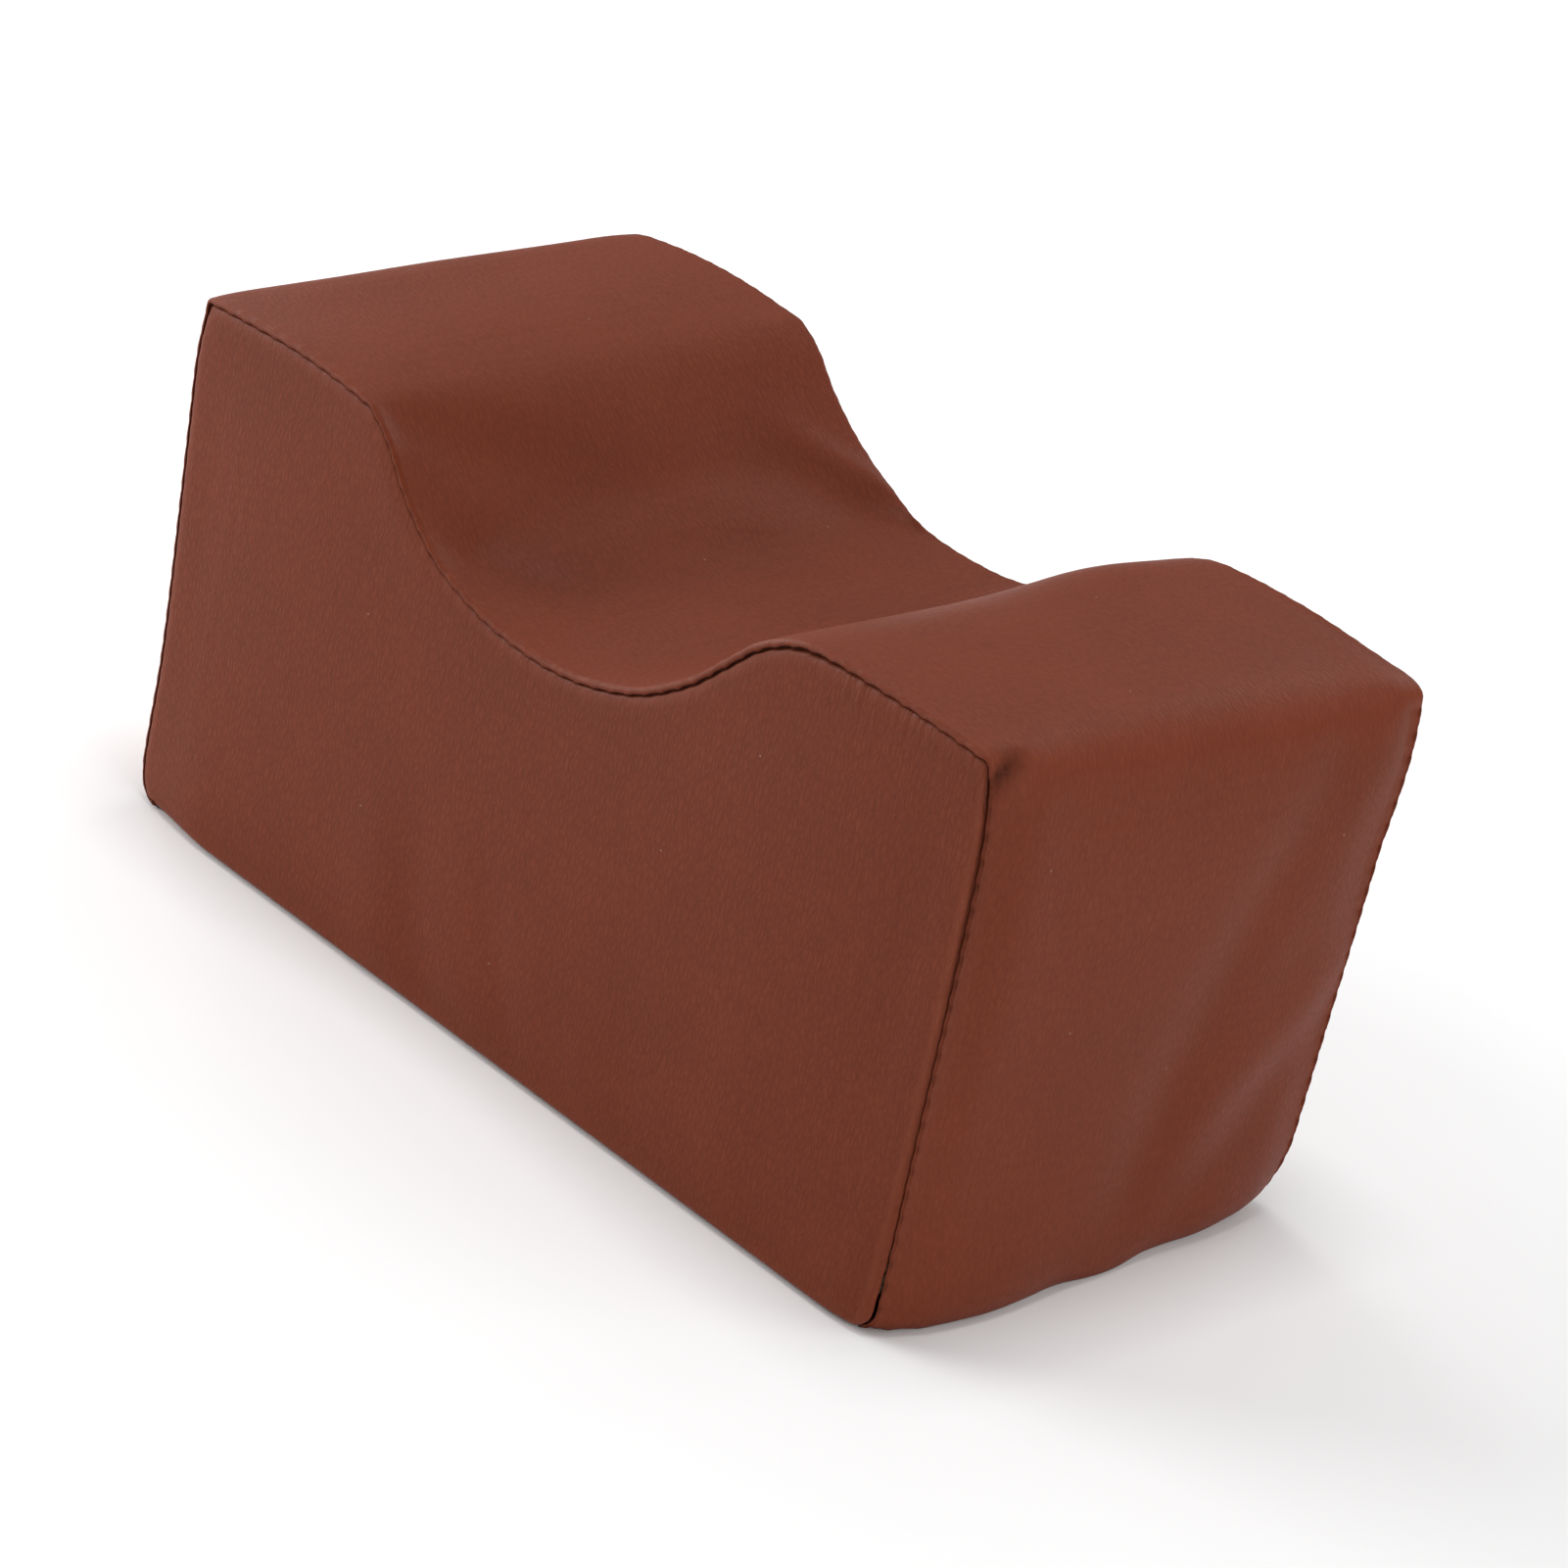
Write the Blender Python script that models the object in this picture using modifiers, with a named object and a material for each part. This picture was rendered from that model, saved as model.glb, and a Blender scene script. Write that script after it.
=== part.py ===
"""Cradle-topped bolster: a foam block in a sewn cover, with a coil zip low in the back panel.

Metres, +Z up. The origin is the centre of the flat base, X runs along the bolster's length and
the zip is on the +Y side.
"""

import math

import bmesh
import bpy
from mathutils import Euler, Vector

COLLECTION = "cradle_bolster"

# The block, over its cover
LENGTH = 0.240
DEPTH = 0.120
HEIGHT = 0.120
FOLD_RADIUS = 0.008  # where the top turns down into each end

# The neck cradle in the top
CRADLE_SPAN = 0.132  # between the points where the plateaus start to curve down
CRADLE_DROP = 0.033
CRADLE_OFFSET = -0.0035  # the cradle lies a little towards -X
SHOULDER_RADIUS = 0.008

# The cover
COVER = 0.0010  # thickness of the coated fabric
GAP = 0.0003  # clearance between neighbouring pieces
PANEL_INSET = 0.0008  # how far the end faces of the band stand proud of the panels
THREAD_RADIUS = 0.00025

# The zip, centred in a slot in the back panel
SLOT_LENGTH = 0.200
SLOT_HEIGHT = 0.012
SLOT_CORNER = 0.0015
ZIP_HEIGHT = 0.014  # chain's middle above the base
ZIP_SINK = 0.0048  # tape plane below the face of the block
TOP_MARGIN = 0.009  # from the slot's closing end to the end of the coils
COIL_RADIUS = 0.0011
COIL_SLIT = 0.0014  # between the two coils, where the slider's post runs
TAPE = 0.0006
TAPE_FLAT = 0.0016  # flat strip of the tape beside its coil
TAPE_SLANT = 0.0026
TAPE_WIDTH = 0.0088  # from the coil's side to the hidden edge
TAPE_OVERRUN = 0.007  # past each end of the slot
STITCH_MARGIN = 0.0020  # from the slot's edge to its row of stitches
STOP_LENGTH = 0.0030

# The slider and its pull
SLIDER_LENGTH = 0.0105
SLIDER_WALL = 0.0010  # side flanges
PLATE = 0.0009
POST_LENGTH = 0.0030
POST_THICKNESS = 0.0008
CROWN_LENGTH = 0.0076
CROWN_WIDTH = 0.0016
CROWN_STRIP = 0.0006
CROWN_RISE = 0.0016  # clear height under the crown
PULL_LENGTH = 0.0220
PULL_WIDTH = 0.0060
PULL_THICKNESS = 0.0010
PULL_WINDOW = 0.0030
PULL_TIP_WIDTH = 0.0046
PULL_CLEARANCE = 0.0010  # from the tip to the slot's end when the zip is open

# The relief cut along the foam's lower back edge, behind the zip
RELIEF_SLOPE_RISE = 0.0062
RELIEF_END = 0.0010  # clearance past each end of the tapes

# Values that follow from the ones above
PANEL_FACE = DEPTH / 2 - PANEL_INSET
LINING = COVER + GAP
ZIP_PLANE = DEPTH / 2 - ZIP_SINK
COIL_CENTRE = COIL_SLIT / 2 + COIL_RADIUS
CHAIN_HALF = COIL_CENTRE + COIL_RADIUS
CHANNEL_HALF_WIDTH = CHAIN_HALF + GAP
CHANNEL_HALF_HEIGHT = COIL_RADIUS + GAP
SLIDER_HALF_WIDTH = CHANNEL_HALF_WIDTH + SLIDER_WALL
SLIDER_HALF_HEIGHT = CHANNEL_HALF_HEIGHT + PLATE
CHAIN_HIGH = SLOT_LENGTH / 2 - TOP_MARGIN
SLIDER_X = CHAIN_HIGH - SLIDER_LENGTH / 2
SLIDER_OPEN_X = PULL_LENGTH + PULL_CLEARANCE - SLOT_LENGTH / 2
CHAIN_LOW = SLIDER_OPEN_X - SLIDER_LENGTH / 2 - GAP
PULL_AXIS_Y = ZIP_PLANE + SLIDER_HALF_HEIGHT + GAP + PULL_THICKNESS / 2

ARC_STEP = math.radians(11)

COATED_FABRIC = ("coated_fabric", (0.181, 0.048, 0.030), 0.48, 0.0)
FOAM = ("foam", (0.80, 0.72, 0.52), 0.95, 0.0)
THREAD = ("thread", (0.045, 0.014, 0.010), 0.80, 0.0)
ZIP_TAPE = ("zip_tape", (0.100, 0.030, 0.020), 0.90, 0.0)
ZIP_COIL = ("zip_coil", (0.120, 0.038, 0.026), 0.45, 0.0)
ZIP_METAL = ("zip_metal", (0.30, 0.22, 0.15), 0.35, 1.0)


# ---------------------------------------------------------------- helpers
def new_collection(name, hidden=False):
    collection = bpy.data.collections.new(name)
    bpy.context.scene.collection.children.link(collection)
    collection.hide_render = hidden
    return collection


def material(spec):
    name, colour, roughness, metallic = spec
    found = bpy.data.materials.get(name)
    if found:
        return found
    made = bpy.data.materials.new(name)
    made.use_nodes = True
    shader = made.node_tree.nodes["Principled BSDF"]
    shader.inputs["Base Color"].default_value = (*colour, 1.0)
    shader.inputs["Roughness"].default_value = roughness
    shader.inputs["Metallic"].default_value = metallic
    made.diffuse_color = (*colour, 1.0)
    return made


def add_object(name, data, spec, collection="parts"):
    obj = bpy.data.objects.new(name, data)
    collections[collection].objects.link(obj)
    if spec:
        data.materials.append(material(spec))
    return obj


def arc(centre, radius, start, end):
    """Points on an arc in the profile's plane, both ends included."""
    steps = max(2, math.ceil(abs(end - start) / ARC_STEP))
    angles = [start + (end - start) * i / steps for i in range(steps + 1)]
    return [(centre[0] + radius * math.cos(a), centre[1] + radius * math.sin(a)) for a in angles]


def profile(inset, bottom):
    """The block's outline from the foot of one end, over the top, to the foot of the other."""
    centres_apart = ((CRADLE_SPAN / 2) ** 2 + CRADLE_DROP**2) / (2 * CRADLE_DROP)
    cradle_radius = centres_apart - SHOULDER_RADIUS
    slope = math.acos(CRADLE_SPAN / 2 / centres_apart)
    half = LENGTH / 2
    up, left, right = math.pi / 2, math.pi, 0.0
    points = [(inset - half, bottom)]
    points += arc((FOLD_RADIUS - half, HEIGHT - FOLD_RADIUS), FOLD_RADIUS - inset, left, up)
    points += arc(
        (CRADLE_OFFSET - CRADLE_SPAN / 2, HEIGHT - SHOULDER_RADIUS), SHOULDER_RADIUS - inset, up, slope
    )
    points += arc(
        (CRADLE_OFFSET, HEIGHT - CRADLE_DROP + cradle_radius),
        cradle_radius + inset,
        slope + math.pi,
        2 * math.pi - slope,
    )[1:-1]
    points += arc(
        (CRADLE_OFFSET + CRADLE_SPAN / 2, HEIGHT - SHOULDER_RADIUS),
        SHOULDER_RADIUS - inset,
        math.pi - slope,
        up,
    )
    points += arc((half - FOLD_RADIUS, HEIGHT - FOLD_RADIUS), FOLD_RADIUS - inset, up, right)
    points.append((half - inset, bottom))
    return points


def rounded_rectangle(width, height, radius):
    points = []
    for quarter, (sx, sy) in enumerate([(1, 1), (-1, 1), (-1, -1), (1, -1)]):
        centre = (sx * (width / 2 - radius), sy * (height / 2 - radius))
        points += arc(centre, radius, quarter * math.pi / 2, (quarter + 1) * math.pi / 2)
    return points


def poly_spline(curve, points, cyclic):
    spline = curve.splines.new("POLY")
    spline.points.add(len(points) - 1)
    for place, point in zip(spline.points, points):
        place.co = (*point, 1.0)
    spline.use_cyclic_u = cyclic


def flat_piece(name, outlines, thickness, spec, location, rotation, collection="parts"):
    """Closed outlines, the later ones holes, filled and given a thickness about their plane."""
    curve = bpy.data.curves.new(name, "CURVE")
    curve.dimensions = "2D"
    curve.fill_mode = "BOTH"
    curve.extrude = thickness / 2
    for outline in outlines:
        poly_spline(curve, [(*point, 0.0) for point in outline], True)
    obj = add_object(name, curve, spec, collection)
    obj.location = location
    obj.rotation_euler = rotation
    return obj


def as_mesh(obj):
    """The same object as a mesh with welded caps, so that a Boolean can use it."""
    bpy.context.view_layer.update()
    mesh = bpy.data.meshes.new_from_object(obj.evaluated_get(bpy.context.evaluated_depsgraph_get()))
    bm = bmesh.new()
    bm.from_mesh(mesh)
    bmesh.ops.remove_doubles(bm, verts=bm.verts, dist=1e-6)
    bmesh.ops.recalc_face_normals(bm, faces=bm.faces)
    bm.to_mesh(mesh)
    bm.free()
    name, curve, owner = obj.name, obj.data, obj.users_collection[0]
    matrix = obj.matrix_world.copy()
    bpy.data.objects.remove(obj)
    bpy.data.curves.remove(curve)
    made = bpy.data.objects.new(name, mesh)
    owner.objects.link(made)
    made.matrix_world = matrix
    return made


def strip(name, path, sweep, thickness, offset, spec):
    """A path swept sideways into an open surface, with the cloth's thickness from Solidify."""
    bm = bmesh.new()
    corners = [bm.verts.new(point) for point in path]
    edges = [bm.edges.new(pair) for pair in zip(corners, corners[1:])]
    swept = bmesh.ops.extrude_edge_only(bm, edges=edges)["geom"]
    moved = [item for item in swept if isinstance(item, bmesh.types.BMVert)]
    bmesh.ops.translate(bm, vec=sweep, verts=moved)
    mesh = bpy.data.meshes.new(name)
    bm.to_mesh(mesh)
    bm.free()
    obj = add_object(name, mesh, spec)
    solidify = obj.modifiers.new("cloth_thickness", "SOLIDIFY")
    solidify.thickness = thickness
    solidify.offset = offset
    solidify.use_even_offset = True
    return obj


def thread(name, path, cyclic):
    curve = bpy.data.curves.new(name, "CURVE")
    curve.dimensions = "3D"
    curve.bevel_depth = THREAD_RADIUS
    curve.bevel_resolution = 1
    curve.use_fill_caps = True
    poly_spline(curve, path, cyclic)
    return add_object(name, curve, THREAD)


def box(name, low, high, spec=None, collection="parts"):
    """A cube between two corners, its size in its mesh."""
    low, high = Vector(low), Vector(high)
    bm = bmesh.new()
    bmesh.ops.create_cube(bm, size=1.0)
    bmesh.ops.scale(bm, vec=high - low, verts=bm.verts)
    mesh = bpy.data.meshes.new(name)
    bm.to_mesh(mesh)
    bm.free()
    obj = add_object(name, mesh, spec, collection)
    obj.location = (low + high) / 2
    return obj


def boolean(obj, other, operation):
    cut = obj.modifiers.new(f"{operation.lower()}_{other.name}", "BOOLEAN")
    cut.operation = operation
    cut.solver = "EXACT"
    cut.object = other


def helper(obj):
    obj.hide_render = True
    obj.display_type = "WIRE"
    return obj


def round_edges(obj, width, segments):
    bevel = obj.modifiers.new("soft_edges", "BEVEL")
    bevel.width = width
    bevel.segments = segments
    bevel.limit_method = "ANGLE"
    bevel.angle_limit = math.radians(50)


STANDING = Euler((math.pi / 2, 0, 0))  # an outline's Y becomes +Z
FACING_X = Euler((math.pi / 2, 0, math.pi / 2))  # an outline's X becomes +Y, its Y becomes +Z


# ---------------------------------------------------------------- cover and filling
def make_foam_core():
    """One block of foam: the cover's outline less its wall, relieved behind the zip."""
    half_depth = PANEL_FACE - LINING
    foam = flat_piece(
        "foam_core", [profile(LINING, LINING)], 2 * half_depth, FOAM, (0, 0, 0), STANDING
    )
    foam = as_mesh(foam)
    behind_slider = ZIP_PLANE - SLIDER_HALF_HEIGHT - GAP
    behind_tape = PANEL_FACE - COVER - GAP - TAPE - GAP
    step = ZIP_HEIGHT + SLIDER_HALF_WIDTH + GAP
    top = ZIP_HEIGHT + CHAIN_HALF + GAP + TAPE_WIDTH + 4 * GAP
    outline = [
        (behind_slider, -LINING),
        (behind_slider, step),
        (behind_tape, step + RELIEF_SLOPE_RISE),
        (behind_tape, top),
        (DEPTH, top),
        (DEPTH, -LINING),
    ]
    run = SLOT_LENGTH + 2 * (TAPE_OVERRUN + RELIEF_END)
    cutter = flat_piece("zip_relief_cutter", [outline], run, None, (0, 0, 0), FACING_X, "cutters")
    boolean(foam, helper(as_mesh(cutter)), "DIFFERENCE")


def make_top_band():
    """One strip over both ends, the plateaus and the cradle."""
    path = [(x, -DEPTH / 2, z) for x, z in profile(0, LINING)]
    strip("top_band", path, (0, DEPTH, 0), COVER, 1.0, COATED_FABRIC)


def make_profile_panels():
    outline = profile(LINING, LINING)
    centre = PANEL_FACE - COVER / 2
    flat_piece("front_panel", [outline], COVER, COATED_FABRIC, (0, -centre, 0), STANDING)
    slot = [
        (x, ZIP_HEIGHT + z) for x, z in rounded_rectangle(SLOT_LENGTH, SLOT_HEIGHT, SLOT_CORNER)
    ]
    flat_piece("back_panel", [outline, slot], COVER, COATED_FABRIC, (0, centre, 0), STANDING)


def make_base_panel():
    box(
        "base_panel",
        (PANEL_INSET - LENGTH / 2, PANEL_INSET - PANEL_FACE, 0),
        (LENGTH / 2 - PANEL_INSET, PANEL_FACE - PANEL_INSET, COVER),
        COATED_FABRIC,
    )


def make_seam_threads():
    """A thread in the groove of each seam. Front and back run over the profile, the base is a ring."""
    rim = LINING + THREAD_RADIUS
    groove = PANEL_FACE + GAP + THREAD_RADIUS
    for name, side in (("front_seam_thread", -1), ("back_seam_thread", 1)):
        thread(name, [(x, side * groove, z) for x, z in profile(rim, 2 * LINING)], False)
    ring = rounded_rectangle(
        LENGTH - 2 * THREAD_RADIUS, 2 * (PANEL_FACE - THREAD_RADIUS), 2 * THREAD_RADIUS
    )
    thread("base_seam_thread", [(x, y, COVER - THREAD_RADIUS) for x, y in ring], True)


# ---------------------------------------------------------------- zip
def make_zip_tapes():
    """Two tapes that start beside their coils and step out to lie flat behind the panel."""
    behind_panel = PANEL_FACE - COVER - GAP - TAPE / 2
    inner = CHAIN_HALF + GAP
    section = [
        (ZIP_PLANE, inner),
        (ZIP_PLANE, inner + TAPE_FLAT),
        (behind_panel, inner + TAPE_FLAT + TAPE_SLANT),
        (behind_panel, inner + TAPE_WIDTH),
    ]
    half = SLOT_LENGTH / 2 + TAPE_OVERRUN
    for name, side in (("zip_tape_upper", 1), ("zip_tape_lower", -1)):
        path = [(-half, y, ZIP_HEIGHT + side * z) for y, z in section]
        strip(name, path, (2 * half, 0, 0), TAPE, 0.0, ZIP_TAPE)


def make_zip_coils():
    """Each coil as one round rod: the slit between them leaves room for the slider's post."""
    for name, side in (("zip_coil_upper", 1), ("zip_coil_lower", -1)):
        bm = bmesh.new()
        bmesh.ops.create_cone(
            bm,
            cap_ends=True,
            segments=12,
            radius1=COIL_RADIUS,
            radius2=COIL_RADIUS,
            depth=CHAIN_HIGH - CHAIN_LOW,
        )
        mesh = bpy.data.meshes.new(name)
        bm.to_mesh(mesh)
        bm.free()
        mesh.shade_smooth()
        obj = add_object(name, mesh, ZIP_COIL)
        obj.location = (
            (CHAIN_HIGH + CHAIN_LOW) / 2,
            ZIP_PLANE,
            ZIP_HEIGHT + side * COIL_CENTRE,
        )
        obj.rotation_euler = (0, math.pi / 2, 0)


def make_zip_stops():
    """A metal clip past each coil's closing end, and one across both at the other."""
    first, last = CHAIN_HIGH + GAP, CHAIN_LOW - GAP
    low, high = ZIP_PLANE - COIL_RADIUS, ZIP_PLANE + COIL_RADIUS
    for name, side in (("zip_top_stop_upper", 1), ("zip_top_stop_lower", -1)):
        near = ZIP_HEIGHT + side * COIL_SLIT / 2
        far = ZIP_HEIGHT + side * CHAIN_HALF
        stop = box(
            name,
            (first, low, min(near, far)),
            (first + STOP_LENGTH, high, max(near, far)),
            ZIP_METAL,
        )
        round_edges(stop, GAP, 2)
    stop = box(
        "zip_bottom_stop",
        (last - STOP_LENGTH, low, ZIP_HEIGHT - CHAIN_HALF),
        (last, high, ZIP_HEIGHT + CHAIN_HALF),
        ZIP_METAL,
    )
    round_edges(stop, GAP, 2)


def make_zip_seam_thread():
    ring = rounded_rectangle(
        SLOT_LENGTH + 2 * STITCH_MARGIN, SLOT_HEIGHT + 2 * STITCH_MARGIN, STITCH_MARGIN
    )
    y = PANEL_FACE + GAP + THREAD_RADIUS
    thread("zip_seam_thread", [(x, y, ZIP_HEIGHT + z) for x, z in ring], True)


def make_slider():
    """Two plates with side flanges, joined by a post that runs in the slit between the coils."""
    nose = 0.35 * SLIDER_LENGTH
    rear = SLIDER_HALF_WIDTH - GAP
    outline = [
        (-SLIDER_LENGTH / 2, -rear),
        (SLIDER_LENGTH / 2 - nose, -SLIDER_HALF_WIDTH),
        (SLIDER_LENGTH / 2, nose - SLIDER_HALF_WIDTH),
        (SLIDER_LENGTH / 2, SLIDER_HALF_WIDTH - nose),
        (SLIDER_LENGTH / 2 - nose, SLIDER_HALF_WIDTH),
        (-SLIDER_LENGTH / 2, rear),
    ]
    place = (SLIDER_X, ZIP_PLANE, ZIP_HEIGHT)
    body = as_mesh(
        flat_piece("zip_slider", [outline], 2 * SLIDER_HALF_HEIGHT, ZIP_METAL, place, STANDING)
    )
    round_edges(body, GAP, 2)
    reach = SLIDER_LENGTH
    tape_slot = TAPE / 2 + GAP
    centre = Vector(place)
    channel_half = Vector((reach, CHANNEL_HALF_HEIGHT, CHANNEL_HALF_WIDTH))
    slot_half = Vector((reach, tape_slot, 2 * SLIDER_HALF_WIDTH))
    channel = helper(
        box("slider_channel_cutter", centre - channel_half, centre + channel_half, None, "cutters")
    )
    slot = helper(box("slider_slot_cutter", centre - slot_half, centre + slot_half, None, "cutters"))
    post_centre = centre + Vector((POST_LENGTH, 0, 0))
    post_half = Vector(
        (POST_LENGTH / 2, CHANNEL_HALF_HEIGHT + PLATE / 2, POST_THICKNESS / 2)
    )
    post = helper(
        box("slider_post", post_centre - post_half, post_centre + post_half, None, "cutters")
    )
    boolean(body, channel, "DIFFERENCE")
    boolean(body, slot, "DIFFERENCE")
    boolean(body, post, "UNION")


def make_crown():
    """The bridge on the slider that holds the pull's bar down."""
    foot = GAP
    under = GAP + CROWN_RISE
    half = CROWN_LENGTH / 2
    lead = CROWN_STRIP
    outline = [
        (-half, foot),
        (-half + CROWN_STRIP, foot),
        (-half + CROWN_STRIP, under - lead),
        (-half + CROWN_STRIP + lead, under),
        (half - CROWN_STRIP - lead, under),
        (half - CROWN_STRIP, under - lead),
        (half - CROWN_STRIP, foot),
        (half, foot),
        (half, under - lead / 2),
        (half - lead, under + CROWN_STRIP),
        (lead - half, under + CROWN_STRIP),
        (-half, under - lead / 2),
    ]
    # The outline lies in the X-Y plane as drawn, its Y pointing out of the panel.
    place = (SLIDER_X, ZIP_PLANE + SLIDER_HALF_HEIGHT, ZIP_HEIGHT)
    flat_piece("zip_crown", [outline], CROWN_WIDTH, ZIP_METAL, place, Euler((0, 0, 0)))


def make_pull_tab():
    """A flat tab with a window at its root. Its origin is on the bar that turns under the crown."""
    bar = PULL_THICKNESS / 2
    window_far = -(CROWN_LENGTH / 2 + 3 * GAP)
    half, tip = PULL_WIDTH / 2, PULL_TIP_WIDTH / 2
    end = arc((tip - PULL_LENGTH, 0), tip, math.pi / 2, 3 * math.pi / 2)
    outline = [(bar, -half), (bar, half), (2 * window_far, half)]
    outline += end + [(2 * window_far, -half)]
    window = [
        (-bar, PULL_WINDOW / 2),
        (window_far, PULL_WINDOW / 2),
        (window_far, -PULL_WINDOW / 2),
        (-bar, -PULL_WINDOW / 2),
    ]
    place = (SLIDER_X, PULL_AXIS_Y, ZIP_HEIGHT)
    flat_piece("pull_tab", [outline, window], PULL_THICKNESS, ZIP_METAL, place, STANDING)


for existing in list(bpy.data.objects):
    bpy.data.objects.remove(existing)
collections = {
    "parts": new_collection(COLLECTION),
    "cutters": new_collection("cutters", hidden=True),
}

make_foam_core()
make_top_band()
make_profile_panels()
make_base_panel()
make_seam_threads()
make_zip_tapes()
make_zip_coils()
make_zip_stops()
make_zip_seam_thread()
make_slider()
make_crown()
make_pull_tab()
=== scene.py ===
import math

import bmesh
import bpy
import numpy as np
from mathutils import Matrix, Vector, kdtree


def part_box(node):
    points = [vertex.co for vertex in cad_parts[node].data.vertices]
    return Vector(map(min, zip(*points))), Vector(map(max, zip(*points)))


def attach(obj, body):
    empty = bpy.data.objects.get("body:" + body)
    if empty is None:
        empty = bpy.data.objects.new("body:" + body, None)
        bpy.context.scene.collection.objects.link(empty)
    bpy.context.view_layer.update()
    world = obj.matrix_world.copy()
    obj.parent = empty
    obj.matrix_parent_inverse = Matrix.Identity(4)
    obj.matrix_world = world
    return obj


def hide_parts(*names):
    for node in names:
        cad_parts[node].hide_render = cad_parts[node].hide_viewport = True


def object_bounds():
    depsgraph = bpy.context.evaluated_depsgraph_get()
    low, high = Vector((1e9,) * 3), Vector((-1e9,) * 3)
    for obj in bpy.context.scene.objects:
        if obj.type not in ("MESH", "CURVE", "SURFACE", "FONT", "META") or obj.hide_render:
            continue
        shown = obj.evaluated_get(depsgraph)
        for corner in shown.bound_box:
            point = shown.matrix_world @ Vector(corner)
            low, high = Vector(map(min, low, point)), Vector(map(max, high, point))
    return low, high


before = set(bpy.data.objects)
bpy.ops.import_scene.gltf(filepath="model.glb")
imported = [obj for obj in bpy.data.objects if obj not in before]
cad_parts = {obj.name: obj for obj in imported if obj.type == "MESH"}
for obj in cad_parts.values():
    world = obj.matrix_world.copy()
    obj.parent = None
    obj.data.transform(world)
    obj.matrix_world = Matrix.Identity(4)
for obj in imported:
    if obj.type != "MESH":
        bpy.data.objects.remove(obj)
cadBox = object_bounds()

mm = 0.001
scene = bpy.context.scene


class Wire:
    # an output socket that can be added, subtracted and multiplied
    def __init__(self, finish, socket):
        self.finish = finish
        self.socket = socket

    def __add__(self, other):
        return self.finish.work("ADD", self, other)

    __radd__ = __add__

    def __sub__(self, other):
        return self.finish.work("SUBTRACT", self, other)

    def __rsub__(self, other):
        return self.finish.work("SUBTRACT", other, self)

    def __mul__(self, other):
        return self.finish.work("MULTIPLY", self, other)

    __rmul__ = __mul__


class Finish:
    # a node material built around one Principled shader
    def __init__(self, name, constants):
        self.material = bpy.data.materials.new(name)
        self.material.use_nodes = True
        self.tree = self.material.node_tree
        self.tree.nodes.clear()
        self.shader = self.tree.nodes.new("ShaderNodeBsdfPrincipled")
        result = self.tree.nodes.new("ShaderNodeOutputMaterial")
        self.tree.links.new(self.shader.outputs[0], result.inputs[0])
        for socket, value in constants.items():
            self.shader.inputs[socket].default_value = value

    def plug(self, socket, value):
        if isinstance(value, Wire):
            self.tree.links.new(value.socket, socket)
        else:
            socket.default_value = value

    def node(self, kind, settings=None, sockets=None, output=0):
        made = self.tree.nodes.new(kind)
        for name, value in (settings or {}).items():
            setattr(made, name, value)
        for name, value in (sockets or {}).items():
            self.plug(made.inputs[name], value)
        return Wire(self, made.outputs[output])

    def work(self, operation, first, second):
        return self.node("ShaderNodeMath", {"operation": operation}, {0: first, 1: second})

    def clamp(self, value):
        return self.node("ShaderNodeClamp", {}, {"Value": value})

    def step(self, value, low, high):
        # 0 below low, 1 above high, smooth between them
        return self.node("ShaderNodeMapRange", {"interpolation_type": "SMOOTHSTEP"},
                         {"Value": value, "From Min": low, "From Max": high})

    def mix(self, share, first, second):
        return self.node("ShaderNodeMix", {"data_type": "RGBA"}, {0: share, 6: first, 7: second}, 2)

    def noise(self, place, scale, detail=3.0, roughness=0.55):
        return self.node("ShaderNodeTexNoise", {},
                         {"Vector": place, "Scale": scale, "Detail": detail, "Roughness": roughness})

    def scaled(self, place, scale, turn=(0.0, 0.0, 0.0)):
        return self.node("ShaderNodeMapping", {}, {"Vector": place, "Scale": scale, "Rotation": turn})

    def place(self):
        return self.node("ShaderNodeTexCoord", {}, {}, "Object")

    def mark(self, name):
        return self.node("ShaderNodeAttribute", {"attribute_name": name}, {}, "Fac")

    def use(self, **wires):
        # Base_Color names the socket Base Color
        for name, wire in wires.items():
            self.plug(self.shader.inputs[name.replace("_", " ")], wire)

    def bump(self, height, strength, distance, under=None):
        sockets = {"Height": height, "Strength": strength, "Distance": distance}
        if under is not None:
            sockets["Normal"] = under
        return self.node("ShaderNodeBump", {}, sockets)


leather = dict(
    colour=(0.176, 0.0340, 0.0124, 1),
    deep=(0.130, 0.0240, 0.0088, 1),
    # lighter leather: real wear along seams and corners, plus painted highlight on the rolled seam lips
    worn=(0.225, 0.053, 0.024, 1),
    # painted shade colour for creases and stitch dimples
    paintedCreaseShade=(0.040, 0.009, 0.004, 1),
    dust=(0.42, 0.33, 0.28, 1),
    sheen=0.13,
    grainWidth=1.2,         # mm across a pebble
    grainLength=2.8,        # mm along the roll
    grainWander=1.6,        # mm that the rows of pebbles stray
    grainDepth=0.00008,     # m
    rippleDepth=0.0009,     # m, of gathers beside seams and of creases
)


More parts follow.
